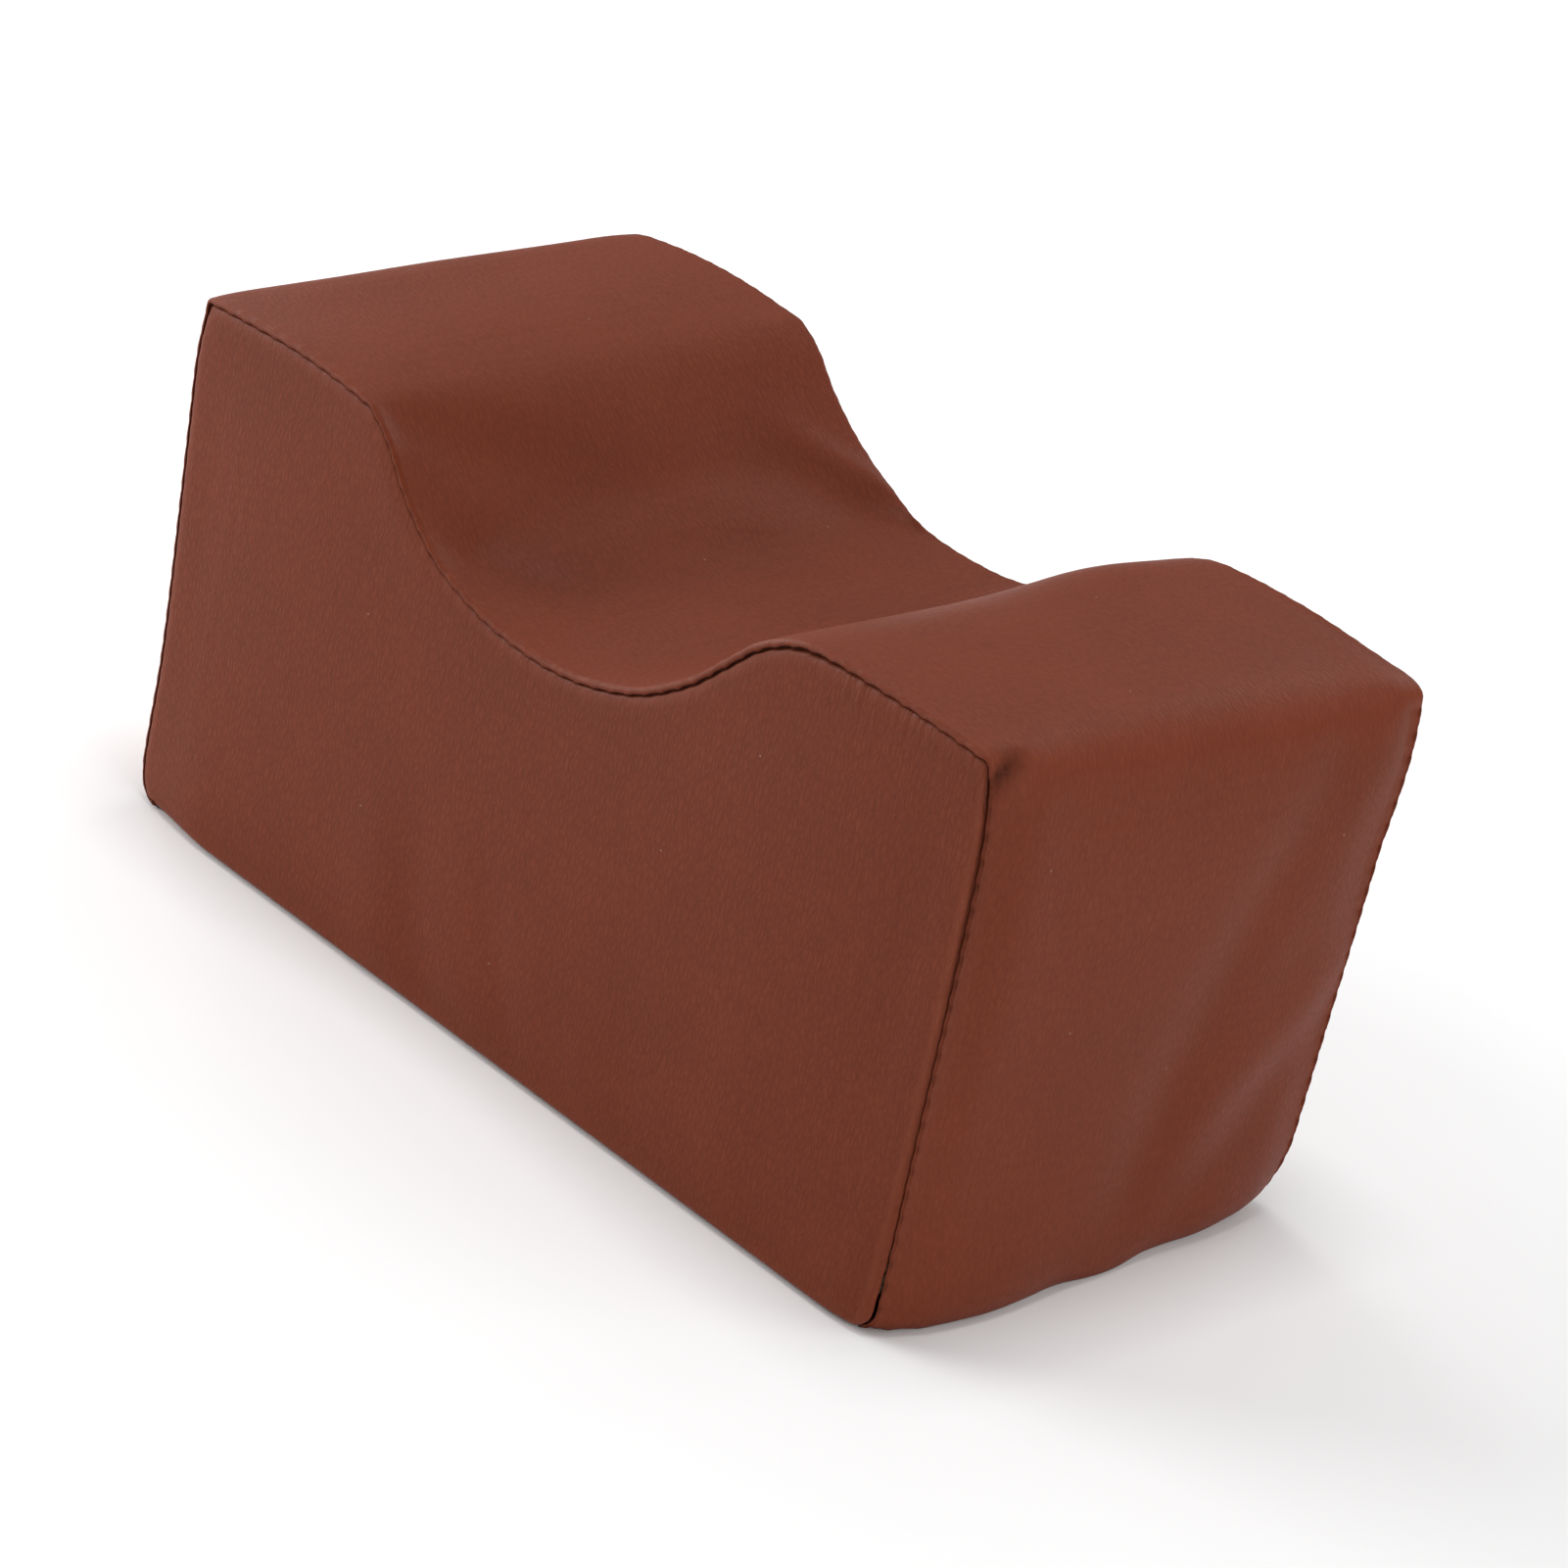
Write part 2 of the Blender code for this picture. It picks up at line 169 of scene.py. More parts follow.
def leatherFinish():
    paint = Finish("brownLeatherCloth", {"Specular IOR Level": leather["sheen"]})
    lay = paint.node("ShaderNodeUVMap", {"uv_map": "clothLay"})
    inMm = paint.scaled(lay, (1000.0, 1000.0, 1000.0))
    wander = paint.node("ShaderNodeTexNoise", {"noise_dimensions": "2D"},
                        {"Vector": inMm, "Scale": 0.3, "Detail": 2.0}, "Color")
    shift = paint.node("ShaderNodeVectorMath", {"operation": "SCALE"},
                       {0: wander, "Scale": leather["grainWander"]})
    bent = paint.node("ShaderNodeVectorMath", {"operation": "ADD"}, {0: inMm, 1: shift})
    across = 1 / leather["grainWidth"]
    along = 1 / leather["grainLength"]

    def pebbles(finer, turn, top):
        place = paint.scaled(bent, (along * finer, across * finer, 1.0), (0, 0, turn))
        cells = paint.node("ShaderNodeTexVoronoi",
                           {"voronoi_dimensions": "2D", "feature": "DISTANCE_TO_EDGE"},
                           {"Vector": place, "Scale": 1.0})
        return paint.step(cells, 0.0, top)

    coarse = pebbles(1.0, 0.0, 0.42)
    fine = pebbles(2.2, 0.1, 0.4)
    pores = paint.noise(inMm, 2.6, 2.0)
    mottle = paint.noise(inMm, 0.035, 3.0)
    streak = paint.noise(paint.scaled(inMm, (0.22, 1.2, 1.0)), 1.0, 3.0)
    wearAndHighlight = paint.mark("seamWearAndHighlight")
    gather = paint.mark("gather")
    shadedCrease = paint.mark("shadedCrease")
    light = 0.5 + 0.35 * (coarse - 0.5) + 0.2 * (fine - 0.5) + 0.7 * (mottle - 0.5) + 1.3 * (streak - 0.5)
    base = paint.mix(paint.clamp(light), leather["deep"], leather["colour"])
    patches = paint.step(paint.noise(inMm, 0.11, 4.0), 0.35, 0.75)
    # seam lips and corners lighter: partly real wear, partly painted highlight
    base = paint.mix(paint.clamp(wearAndHighlight * (0.45 + 0.4 * patches)), base, leather["worn"])
    crumple = paint.noise(inMm, 0.9, 4.0, 0.7)
    # painted shade: creases and stitch dimples turn darker where shade falls in them
    base = paint.mix(paint.clamp(shadedCrease * (0.1 + 1.3 * crumple)), base, leather["paintedCreaseShade"])
    specks = paint.step(paint.node("ShaderNodeTexVoronoi", {"voronoi_dimensions": "2D"},
                                   {"Vector": inMm, "Scale": 0.016}), 0.0045, 0.0015)
    base = paint.mix(paint.clamp(0.45 * specks), base, leather["dust"])
    ripples = paint.noise(paint.scaled(inMm, (0.07, 0.42, 1.0), (0, 0, 0.25)), 1.0, 3.0, 0.6)
    height = 0.55 * coarse + 0.2 * fine + 0.15 * pores + 0.95 * streak
    grain = paint.bump(height, 0.6, leather["grainDepth"])
    rippled = paint.bump(ripples * gather + 0.8 * crumple * shadedCrease, 0.6, leather["rippleDepth"], grain)
    dull = 0.53 - 0.05 * coarse + 0.08 * (mottle - 0.5) + 0.06 * (pores - 0.5) - 0.06 * wearAndHighlight + 0.35 * shadedCrease
    paint.use(Base_Color=base, Roughness=dull, Normal=rippled)
    paint.material.diffuse_color = leather["colour"]
    return paint.material


def threadFinish():
    paint = Finish("seamThread", {"Specular IOR Level": 0.06})
    place = paint.place()
    twist = paint.node("ShaderNodeTexWave", {"bands_direction": "DIAGONAL"},
                       {"Vector": place, "Scale": 900.0, "Distortion": 1.0, "Detail": 1.0})
    fuzz = paint.noise(place, 2600.0, 2.0)
    light = paint.clamp(0.5 * twist + 0.5 * fuzz)
    paint.use(Base_Color=paint.mix(light, (0.030, 0.0065, 0.003, 1), (0.065, 0.016, 0.008, 1)),
              Roughness=0.55 + 0.2 * fuzz,
              Normal=paint.bump(twist + 0.5 * fuzz, 0.6, 0.00006))
    return paint.material


def foamFinish():
    paint = Finish("paddingFoam", {"Specular IOR Level": 0.2})
    place = paint.place()
    cells = paint.node("ShaderNodeTexVoronoi", {}, {"Vector": place, "Scale": 1400.0})
    cloud = paint.noise(place, 40.0, 3.0)
    light = paint.clamp(0.7 * cells + 0.5 * cloud)
    paint.use(Base_Color=paint.mix(light, (0.62, 0.55, 0.38, 1), (0.82, 0.77, 0.60, 1)),
              Roughness=0.85 + 0.1 * cells,
              Normal=paint.bump(cells, 0.7, 0.0003))
    return paint.material


def tapeFinish():
    # fine twill: warp along the zip, weft across it
    paint = Finish("zipTape", {"Specular IOR Level": 0.15})
    place = paint.place()
    warp, weft, twill = (paint.node("ShaderNodeTexWave", {"bands_direction": way},
                                    {"Vector": place, "Scale": scale})
                         for way, scale in (("Z", 560.0), ("X", 640.0), ("DIAGONAL", 300.0)))
    weave = warp * twill + weft * (1.0 - twill)
    cloud = paint.noise(place, 150.0, 3.0)
    light = paint.clamp(0.6 * weave + 0.5 * cloud)
    paint.use(Base_Color=paint.mix(light, (0.055, 0.016, 0.010, 1), (0.120, 0.040, 0.026, 1)),
              Roughness=0.75 + 0.15 * weave,
              Normal=paint.bump(weave, 0.7, 0.00012))
    return paint.material


def metalFinish():
    # antiqued zip metal, brighter in scattered patches
    paint = Finish("zipMetal", {"Metallic": 1.0})
    place = paint.place()
    brushed = paint.noise(paint.scaled(place, (120.0, 900.0, 1500.0)), 1.0, 3.0)
    stain = paint.noise(place, 420.0, 4.0)
    base = paint.mix(paint.step(stain, 0.35, 0.7), (0.27, 0.20, 0.135, 1), (0.38, 0.295, 0.205, 1))
    paint.use(Base_Color=base,
              Roughness=0.26 + 0.16 * stain + 0.1 * brushed,
              Normal=paint.bump(brushed + 0.3 * stain, 0.2, 0.00003))
    return paint.material


def coilFinish():
    paint = Finish("zipCoil", {"Specular IOR Level": 0.45})
    place = paint.place()
    cloud = paint.noise(place, 700.0, 3.0)
    paint.use(Base_Color=paint.mix(cloud, (0.050, 0.015, 0.009, 1), (0.095, 0.031, 0.020, 1)),
              Roughness=0.30 + 0.2 * cloud,
              Normal=paint.bump(cloud, 0.3, 0.00004))
    return paint.material


finishes = dict(
    leather=leatherFinish(),
    thread=threadFinish(),
    foam=foamFinish(),
    tape=tapeFinish(),
    coil=coilFinish(),
    metal=metalFinish(),
)
print("finishes made:", len(finishes))


def keep(piece, finish, body, replaced):
    piece.data.materials.clear()
    piece.data.materials.append(finishes[finish])
    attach(piece, body)
    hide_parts(*replaced)


def placed(name, mesh, smooth=True):
    mesh.name = name
    mesh.polygons.foreach_set("use_smooth", [smooth] * len(mesh.polygons))
    piece = bpy.data.objects.new(name, mesh)
    scene.collection.objects.link(piece)
    return piece


def meshPiece(name, bm, smooth=True):
    mesh = bpy.data.meshes.new(name)
    bm.to_mesh(mesh)
    bm.free()
    return placed(name, mesh, smooth)


def layCloth(name, points, lay, marks, flip=False, cut=None):
    # a sheet of cloth: points[i, j] in mm, lay[i, j] its place on the roll in mm
    cols, rows = points.shape[0] - 1, points.shape[1] - 1
    bm = bmesh.new()
    bmesh.ops.create_grid(bm, x_segments=cols, y_segments=rows, size=0.5)
    onRoll = bm.loops.layers.uv.new("clothLay")
    layers = {mark: bm.verts.layers.float.new(mark) for mark in marks}
    spot = {}
    for vert in bm.verts:
        i = round((vert.co.x + 0.5) * cols)
        j = round((vert.co.y + 0.5) * rows)
        spot[vert.index] = (i, j)
        vert.co = Vector(points[i, j]) * mm
        for mark, layer in layers.items():
            vert[layer] = float(marks[mark][i, j])
    for face in bm.faces:
        for loop in face.loops:
            loop[onRoll].uv = lay[spot[loop.vert.index]] * mm
    if cut is not None:
        gone = [face for face in bm.faces if cut(face.calc_center_median() / mm)]
        bmesh.ops.delete(bm, geom=gone, context="FACES")
    if flip:
        bmesh.ops.reverse_faces(bm, faces=bm.faces[:])
    return meshPiece(name, bm)


def thicken(piece, thickness, both=False):
    # inwards, or to both sides
    shell = piece.modifiers.new("clothThickness", "SOLIDIFY")
    shell.thickness = thickness * mm
    shell.offset = 0.0 if both else -1.0


def finishCover(piece, replaced):
    thicken(piece, cover["thickness"])
    keep(piece, "leather", "root", replaced)


def tube(name, path, radius, closed=False, sides=2):
    line = bpy.data.curves.new(name, "CURVE")
    line.dimensions = "3D"
    line.bevel_depth = radius * mm
    line.bevel_resolution = sides
    line.use_fill_caps = not closed
    run = line.splines.new("POLY")
    run.points.add(len(path) - 1)
    run.points.foreach_set("co", np.column_stack([np.array(path) * mm, np.ones(len(path))]).ravel())
    run.use_cyclic_u = closed
    holder = bpy.data.objects.new(name + "Line", line)
    scene.collection.objects.link(holder)
    bpy.context.view_layer.update()
    shown = holder.evaluated_get(bpy.context.evaluated_depsgraph_get())
    mesh = bpy.data.meshes.new_from_object(shown)
    bpy.data.objects.remove(holder)
    return placed(name, mesh)


def ease(value, low, high):
    # 0 below low, 1 above high, smooth between them
    share = np.clip((np.asarray(value, float) - low) / (high - low), 0, 1)
    return share * share * (3 - 2 * share)


def smoothLine(points, spacing=0.4):
    # a smooth line through the given points
    pts = np.array(points, float)
    pad = np.vstack([2 * pts[0] - pts[1], pts, 2 * pts[-1] - pts[-2]])
    made = []
    for k in range(1, len(pad) - 2):
        a, b, c, d = pad[k - 1:k + 3]
        count = max(2, int(np.linalg.norm(c - b) / spacing))
        s = np.linspace(0, 1, count, endpoint=False)[:, None]
        square = (2 * a - 5 * b + 4 * c - d) * s**2
        cube = (3 * b - a - 3 * c + d) * s**3
        made.append(0.5 * (2 * b + (c - a) * s + square + cube))
    made.append(pts[-1:])
    return np.vstack(made)


def lengthAlong(line):
    return np.concatenate([[0], np.cumsum(np.linalg.norm(np.diff(line, axis=0), axis=1))])


def soften(values, spread, spacing):
    # rounds corners of a line over about spread mm; the ends run on straight
    if spread < spacing * 0.3:
        return values
    reach = int(math.ceil(spread * 3 / spacing))
    bell = np.exp(-0.5 * (np.arange(-reach, reach + 1) * spacing / spread) ** 2)
    bell /= bell.sum()
    before = 2 * values[0] - values[reach:0:-1]
    after = 2 * values[-1] - values[-2:-reach - 2:-1]
    return np.convolve(np.concatenate([before, values, after]), bell, mode="valid")


def softenLine(line, spread):
    return np.column_stack([soften(line[:, k], spread, guideStep) for k in (0, 1)])


# sizes of the cover in mm
cover = dict(
    stitch=5.1,             # from stitch to stitch
    step=0.85,              # from point to point along the strip
    thickness=0.8,
    lip=0.6,                # how far an edge is turned in at a top seam
    endLip=0.3,
    roll=1.25,              # the strip's own roll over the front edge
    endRoll=0.5,
    endRecess=0.5,          # how far the strip lies behind the front panel's edge on the ends
    sag=0.5,                # how much the strip slopes off towards a top seam
    furrow=0.2,             # the dip of the strip beside an end seam
    shoulderFurrow=0.42,    # and beside the seam of the right plateau
    hemRoll=1.5,            # the roll under at the bottom
    seamGap=0.05,           # half the gap between stitches
    jog=0.34,               # how far a stitch pulls the seam sideways
    cornerAtSeam=0.7,       # how much a corner is rounded at the front seam
    cornerAtBack=1.4,       # at the back seam
    cornerMid=4.6,          # and in the middle of the strip
    cornerFill=1.9,         # foam standing out where the strip folds over
    floorGap=0.08,          # the lowest point of the cloth above the floor
    slack=0.9,              # share of the swelling that the cover follows
)

# sizes of the two profile panels in mm
panel = dict(
    high=118.0,             # sewn height before the outline bends its rows
    bendFrom=30.0,          # rows above this height follow the outline
    rowStep=1.25,
    topRoll=0.9,            # the turn of an edge at the top
    sideRoll=1.0,
)

# lean of the upright back edge of the right end, in mm
lean = dict(
    outward=1.9,
    backward=2.2,
    footRound=1.6,
    footHeight=18,
)

# sewn line of the front panel for a 240 x 120 x 120 block, from the bottom left corner over the top
leftSide = [(-114.6, 0.3), (-118.0, 2.6), (-119.6, 8), (-119.6, 18), (-119.3, 32), (-119.9, 48),
            (-121.3, 70), (-122.5, 88), (-123.4, 104), (-122.3, 116.2)]
leftTop = [(-122.3, 116.2), (-106, 117.1), (-92, 117.5), (-78, 116.9), (-65.9, 115.6)]
cradleTop = [(-65.9, 115.6), (-59, 110.6), (-51, 101.8), (-39.6, 93.4), (-29, 89.3), (-19, 87.1), (-9, 86.3),
             (0, 86.4), (12, 88.2), (26, 92.9), (38.6, 100.8), (47.8, 109.2), (55.5, 116.3), (64.5, 120.9),
             (74, 122.5), (90, 122.9), (104, 122.7), (118, 121.9)]
rightSide = [(118, 121.9), (119.8, 114), (121.0, 104), (121.5, 85), (121.6, 45), (121.6, 8),
             (120.4, 2.4), (117.4, 0.3)]
# how much higher the back edge lies
backLift = [(-122, 3.4), (-116, 4.4), (-104, 5.2), (-85, 5.6), (-70, 5.8), (-58, 7.4), (-50, 8.4), (-38, 9.0),
            (-27, 7.3), (-12, 5.9), (0, 5.6), (20, 4.2), (45, 2.2), (70, -0.8), (90, -1.0), (106, -1.8),
            (116, -3.3), (122, -4.4)]

stretch = np.array([cadBox[1].x / 0.120, cadBox[1].z / 0.120])
half = cadBox[1].y / mm
guideStep = 0.5
sections = [smoothLine(np.array(part) * stretch) for part in (leftSide, leftTop, cradleTop, rightSide)]
corners = np.cumsum([lengthAlong(part)[-1] for part in sections])
sharp = np.vstack([part[:-1] for part in sections[:-1]] + [sections[-1]])
sharpAlong = lengthAlong(sharp)
seamLength = sharpAlong[-1]
guide = np.linspace(0, seamLength, int(seamLength / guideStep) + 1)
guideStep = guide[1] - guide[0]
frontLine = np.column_stack([np.interp(guide, sharpAlong, sharp[:, k]) for k in (0, 1)])
leftCorner, rightCorner = corners[0], corners[2]
leftShare = frontLine[:, 1] / frontLine[np.searchsorted(guide, leftCorner), 1]
rightShare = frontLine[:, 1] / np.interp(rightCorner, guide, frontLine[:, 1])
topShare = np.where(guide < leftCorner, leftShare, np.where(guide > rightCorner, rightShare, 1))
lift = np.interp(frontLine[:, 0], *np.array(backLift).T) * np.clip(topShare, 0, 1)
backLine = frontLine + np.column_stack([np.zeros(len(guide)), lift])


def backLean(z):
    # out at the top and in at the foot, where it also rounds off
    foot = lean["footRound"] * np.clip(1 - z / lean["footHeight"], 0, 1) ** 2
    return np.where(z > 85, (z - 85) / 30, (z - 85) / 95) - foot


def atRightEnd(t):
    return ease(t, rightCorner - 14, rightCorner + 2)


leanOut = lean["outward"] * backLean(backLine[:, 1]) * atRightEnd(guide)
frontLine = softenLine(frontLine, cover["cornerAtSeam"])
backPlain = softenLine(backLine, cover["cornerAtBack"])
backLine = backPlain + np.column_stack([leanOut, np.zeros(len(guide))])


def facing(line):
    # outward direction of a line that runs left to right over the top
    run = np.gradient(line, axis=0)
    run /= np.linalg.norm(run, axis=1)[:, None]
    return np.column_stack([-run[:, 1], run[:, 0]])


def onEnds(t):
    # 1 on the upright ends, 0 over the top
    return 1 - ease(t, leftCorner - 5, leftCorner + 3) * (1 - ease(t, rightCorner - 3, rightCorner + 5))


def around(t, centre, reach):
    return np.exp(-((t - centre) / reach) ** 2)


topPart = (guide >= leftCorner - 1) & (guide <= rightCorner + 1)
leftPart = guide <= leftCorner
rightPart = guide >= rightCorner

# where the front seam gapes: middle, reach and width in mm along it
openings = [(rightCorner - 49, 9, 0.26), (rightCorner - 34, 14, 0.12), (rightCorner - 2, 5, 0.10),
            (rightCorner + 10, 10, 0.07), (corners[1] - 3, 3.5, 0.10)]


def fromStitch(t):
    # -0.5 to 0.5 between the middles of two stitches
    return (t / cover["stitch"] + 0.5) % 1 - 0.5


def seamHalfGap(t, opened=True):
    away = np.abs(fromStitch(t)) * cover["stitch"]
    gap = cover["seamGap"] * (1 - 0.75 * around(away, 0, 0.55))
    if opened:
        for centre, reach, width in openings:
            gap = gap + width * around(t, centre, reach)
    return gap


def seamPinch(t):
    # 1 where a stitch pulls the cloth in
    away = np.abs(fromStitch(t)) * cover["stitch"]
    return around(away, 0, 0.75)


def seamJog(t):
    saw = fromStitch(t)
    turnBack = np.clip((np.abs(saw) - 0.42) / 0.08, 0, 1) * 0.6
    return cover["jog"] * (1 - 0.5 * onEnds(t)) * saw * (1 - turnBack)


def edgeSamples(total, step, startRoll, endRoll, extra=()):
    # places from one edge to the other, close together where each edge is turned in
    turn = np.linspace(0, math.pi / 2, 6)
    start = startRoll * (1 - np.cos(turn))
    end = total - endRoll * (1 - np.cos(turn))[::-1]
    count = int(round((end[0] - start[-1]) / step))
    between = np.linspace(start[-1], end[0], count + 1)[1:-1]
    places = np.concatenate([start, between, end])
    # extra stretches are sampled every 0.4 mm
    for low, high in extra:
        places = places[(places < low - 0.35) | (places > high + 0.35)]
    added = [np.linspace(low, high, max(2, int(math.ceil((high - low) / 0.4)) + 1)) for low, high in extra]
    return np.sort(np.concatenate([places, *added]))


def turnedIn(distance, roll):
    # depth of an edge that is turned in over a quarter round
    inside = np.clip(roll - distance, 0, roll)
    return roll - np.sqrt(np.maximum(roll**2 - inside**2, 0))


def surfaceFacing(points):
    along = np.gradient(points, axis=0)
    across = np.gradient(points, axis=1)
    out = np.cross(along, across)
    return out / np.maximum(np.linalg.norm(out, axis=2), 1e-9)[..., None]


def pushed(points, folds, swells):
    # how far each point stands out: folds along a path of (x, y, z, width, height), and round swells
    total = np.zeros(points.shape[:-1])
    for path in folds:
        nearest = np.full(total.shape, 1e9)
        stands = np.zeros(total.shape)
        for first, last in zip(path[:-1], path[1:]):
            a, b = np.array(first, float), np.array(last, float)
            run = b[:3] - a[:3]
            within = np.clip(((points - a[:3]) @ run) / (run @ run), 0, 1)
            gap = np.linalg.norm(points - (a[:3] + within[..., None] * run), axis=-1)
            width = a[3] + (b[3] - a[3]) * within
            height = a[4] + (b[4] - a[4]) * within
            stands = np.where(gap < nearest, height * np.exp(-(gap / width) ** 2), stands)
            nearest = np.minimum(gap, nearest)
        total += stands
    for centre, reach, height in swells:
        total += height * np.exp(-(((points - np.array(centre)) / np.array(reach)) ** 2).sum(axis=-1))
    return total


stuffing = dict(
    inset=3.4,              # mm under the cover
    base=2.2,               # mm above the floor
    voxel=5.0,
    pressure=4.0,
    frames=20,
    cap=4.0,                # mm that a point may move
    heldWithin=5.5,         # mm of a sewn edge; free from twice that
    foamShare=0.7,          # share of the movement that the foam keeps
)


def topHeight(x, share):
    front = np.interp(x, frontLine[topPart, 0], frontLine[topPart, 1])
    back = np.interp(x, backLine[topPart, 0], backLine[topPart, 1])
    return front * (1 - share) + back * share + cover["roll"] + cover["lip"]


def leftEdge(z):
    return np.interp(z, frontLine[leftPart, 1], frontLine[leftPart, 0])


def rightEdge(z):
    return np.interp(z, frontLine[rightPart, 1][::-1], frontLine[rightPart, 0][::-1])


def blockPoint(x, y, z):
    # from a unit block to the shape of the padding, mm
    inset = stuffing["inset"]
    height = z + 0.5
    depth = y * 2 * (half - inset)
    low = leftEdge(height * panel["high"]) + inset - 1.5
    high = rightEdge(height * panel["high"]) - inset + 1.5
    along = low + (x + 0.5) * (high - low)
    top = topHeight(along, y + 0.5) - inset
    return along, depth, stuffing["base"] + height * (top - stuffing["base"])


def makePadding():
    bm = bmesh.new()
    bmesh.ops.create_cube(bm, size=1.0)
    bmesh.ops.subdivide_edges(bm, edges=bm.edges[:], cuts=31, use_grid_fill=True)
    for vert in bm.verts:
        vert.co = Vector(blockPoint(*vert.co)) * mm
    bmesh.ops.recalc_face_normals(bm, faces=bm.faces[:])
    return meshPiece("paddingCore", bm)


def applied(piece):
    shown = piece.evaluated_get(bpy.context.evaluated_depsgraph_get())
    mesh = bpy.data.meshes.new_from_object(shown)
    old = piece.data
    piece.modifiers.clear()
    piece.data = mesh
    bpy.data.meshes.remove(old)


def meshPoints(mesh):
    flat = np.zeros(len(mesh.vertices) * 3)
    mesh.vertices.foreach_get("co", flat)
    return flat.reshape(-1, 3) / mm


def treeOf(points):
    tree = kdtree.KDTree(len(points))
    for index, point in enumerate(points):
        tree.insert(point, index)
    tree.balance()
    return tree


def swell(piece):
    # cloth simulation: pressure from inside with the sewn edges held, then how far each point moved, mm
    grid = piece.modifiers.new("evenMesh", "REMESH")
    grid.mode = "VOXEL"
    grid.voxel_size = stuffing["voxel"] * mm
    bpy.context.view_layer.update()
    applied(piece)
    start = meshPoints(piece.data)
    sewn = [(x, y * 0.95, z) for line, y in ((frontLine, -half), (backLine, half)) for x, z in line[::2]]
    sewn += [(x, y * 0.95, 2.0) for x in np.linspace(-half * 2, half * 2, 200) for y in (-half, half)]
    sewn += [(x, y, 2.0) for y in np.linspace(-half, half, 60) for x in (leftEdge(2), rightEdge(2))]
    edges = treeOf(sewn)
    held = piece.vertex_groups.new(name="sewn")
    for index, point in enumerate(start):
        gap = edges.find(point)[2]
        free = ease(gap, stuffing["heldWithin"], 2 * stuffing["heldWithin"])
        held.add([index], float(1 - free), "REPLACE")
    cloth = piece.modifiers.new("stuffed", "CLOTH")
    behaviour = dict(use_pressure=True, uniform_pressure_force=stuffing["pressure"], quality=6, mass=0.3,
                     tension_stiffness=20, compression_stiffness=20, bending_stiffness=2,
                     vertex_group_mass="sewn", pin_stiffness=1)
    for setting, value in behaviour.items():
        setattr(cloth.settings, setting, value)
    cloth.settings.effector_weights.gravity = 0
    cloth.point_cache.frame_end = stuffing["frames"]
    for number in range(1, stuffing["frames"] + 1):
        scene.frame_set(number)
    applied(piece)
    moved = meshPoints(piece.data) - start
    size = np.linalg.norm(moved, axis=1)
    limit = stuffing["cap"]
    moved *= (limit * np.tanh(size / limit) / np.maximum(size, 1e-9))[:, None]
    scene.frame_set(1)
    return start, moved


padding = makePadding()
padStart, padMoved = swell(padding)
print("padding stuffed, most a point moved, mm:", round(float(np.linalg.norm(padMoved, axis=1).max()), 2))

padTree = treeOf(padStart)


def swelling(points):
    # how the stuffing moves the cover above it
    flat = points.reshape(-1, 3)
    moved = np.zeros_like(flat)
    for k, point in enumerate(flat):
        near = padTree.find_n(point, 8)
        weights = np.array([1 / (gap + 1.5) ** 2 for _, _, gap in near])
        moved[k] = weights @ padMoved[[index for _, index, _ in near]] / weights.sum()
    return moved.reshape(points.shape)


# folds are paths of (x, y, z, width, height), swells are (middle, reach, height), in mm
stripFolds = [
    # right end: the long slanted valley, its ridge, and the smaller pair beside it
    [(122, 44, 119, 7, -0.3), (122, 35, 99, 9, -1.0), (122, 24, 78, 9, -1.3), (122, 16, 60, 9, -1.4),
     (123, 9, 39, 9, -1.6), (124, 5, 8, 9, -1.9)],
    [(122, 60, 61, 8, 0.6), (122, 42, 51, 9, 1.1), (122, 25, 36, 8, 1.0), (124, 14, 19, 8, 0.4)],
    [(122, 54, 46, 7, -0.2), (122, 42, 34, 7, -0.8), (122, 34, 22, 7, -0.8), (124, 21, 9, 7, -0.6)],
    # the dip beside its front seam
    [(122, -56, 116, 3.2, -0.6), (122, -56, 86, 3.6, -0.8), (122, -55, 58, 4, -0.4), (122, -55, 30, 4, 0)],
    [(122, -47, 112, 6, 0.5), (122, -44, 70, 7, 0.4), (122, -44, 40, 8, 0)],
    # pucker at the front top corner of the right end
    [(123, -56, 112, 2.0, 0.3), (123, -51, 116, 2.4, 0.5), (121, -46, 121, 2.2, 0.2)],
    [(117, -58, 122, 1.6, 0.3), (116, -55, 125, 2.0, 0.5), (112, -51, 125.5, 2.0, 0.1)],
    # pinch in the cradle near the back edge
    [(-50, 16, 108, 13, -0.3), (-41, 26, 103.5, 13, -1.0), (-34, 38, 100, 11, -1.7), (-27, 48, 97, 9, -2.1),
     (-19, 58, 94.5, 7, -1.8)],
    [(-48, 38, 108, 5, 0.2), (-40, 47, 104, 4.5, 1.3), (-31, 55, 100, 4.5, 2.1), (-25, 61, 97.5, 4.5, 2.0)],
    # left end
    [(-122, -18, 108, 9, -0.1), (-122, -26, 70, 10, -0.8), (-120, -38, 8, 10, -0.9)],
    [(-122, 30, 96, 9, 0.1), (-122, 34, 50, 10, 0.7), (-120, 20, 6, 9, 0.9)],
    # soft hollows behind the front seam of the cradle
    [(-60, -53, 114, 7, -1.7), (-55, -40, 109, 9, -1.8), (-47, -14, 104, 10, -0.7), (-42, 0, 100, 10, -0.1)],
    [(-37, -51, 95, 7, -2.0), (-28, -43, 91, 8, -1.9), (-14, -30, 88, 8, -0.2)],
    [(40, -56, 106, 6, -0.4), (46, -40, 111, 7, -0.3)],
]
stripSwells = [
    ((124, -30, 2), (30, 25, 17), 4.6),
    ((124, 4, 0), (30, 11, 12), 4.2),
    ((124, 30, 2), (30, 18, 12), 2.2),
    ((124, 56, 110), (12, 12, 14), 1.2),
    ((60, 30, 121), (15, 20, 20), 2.2),
]
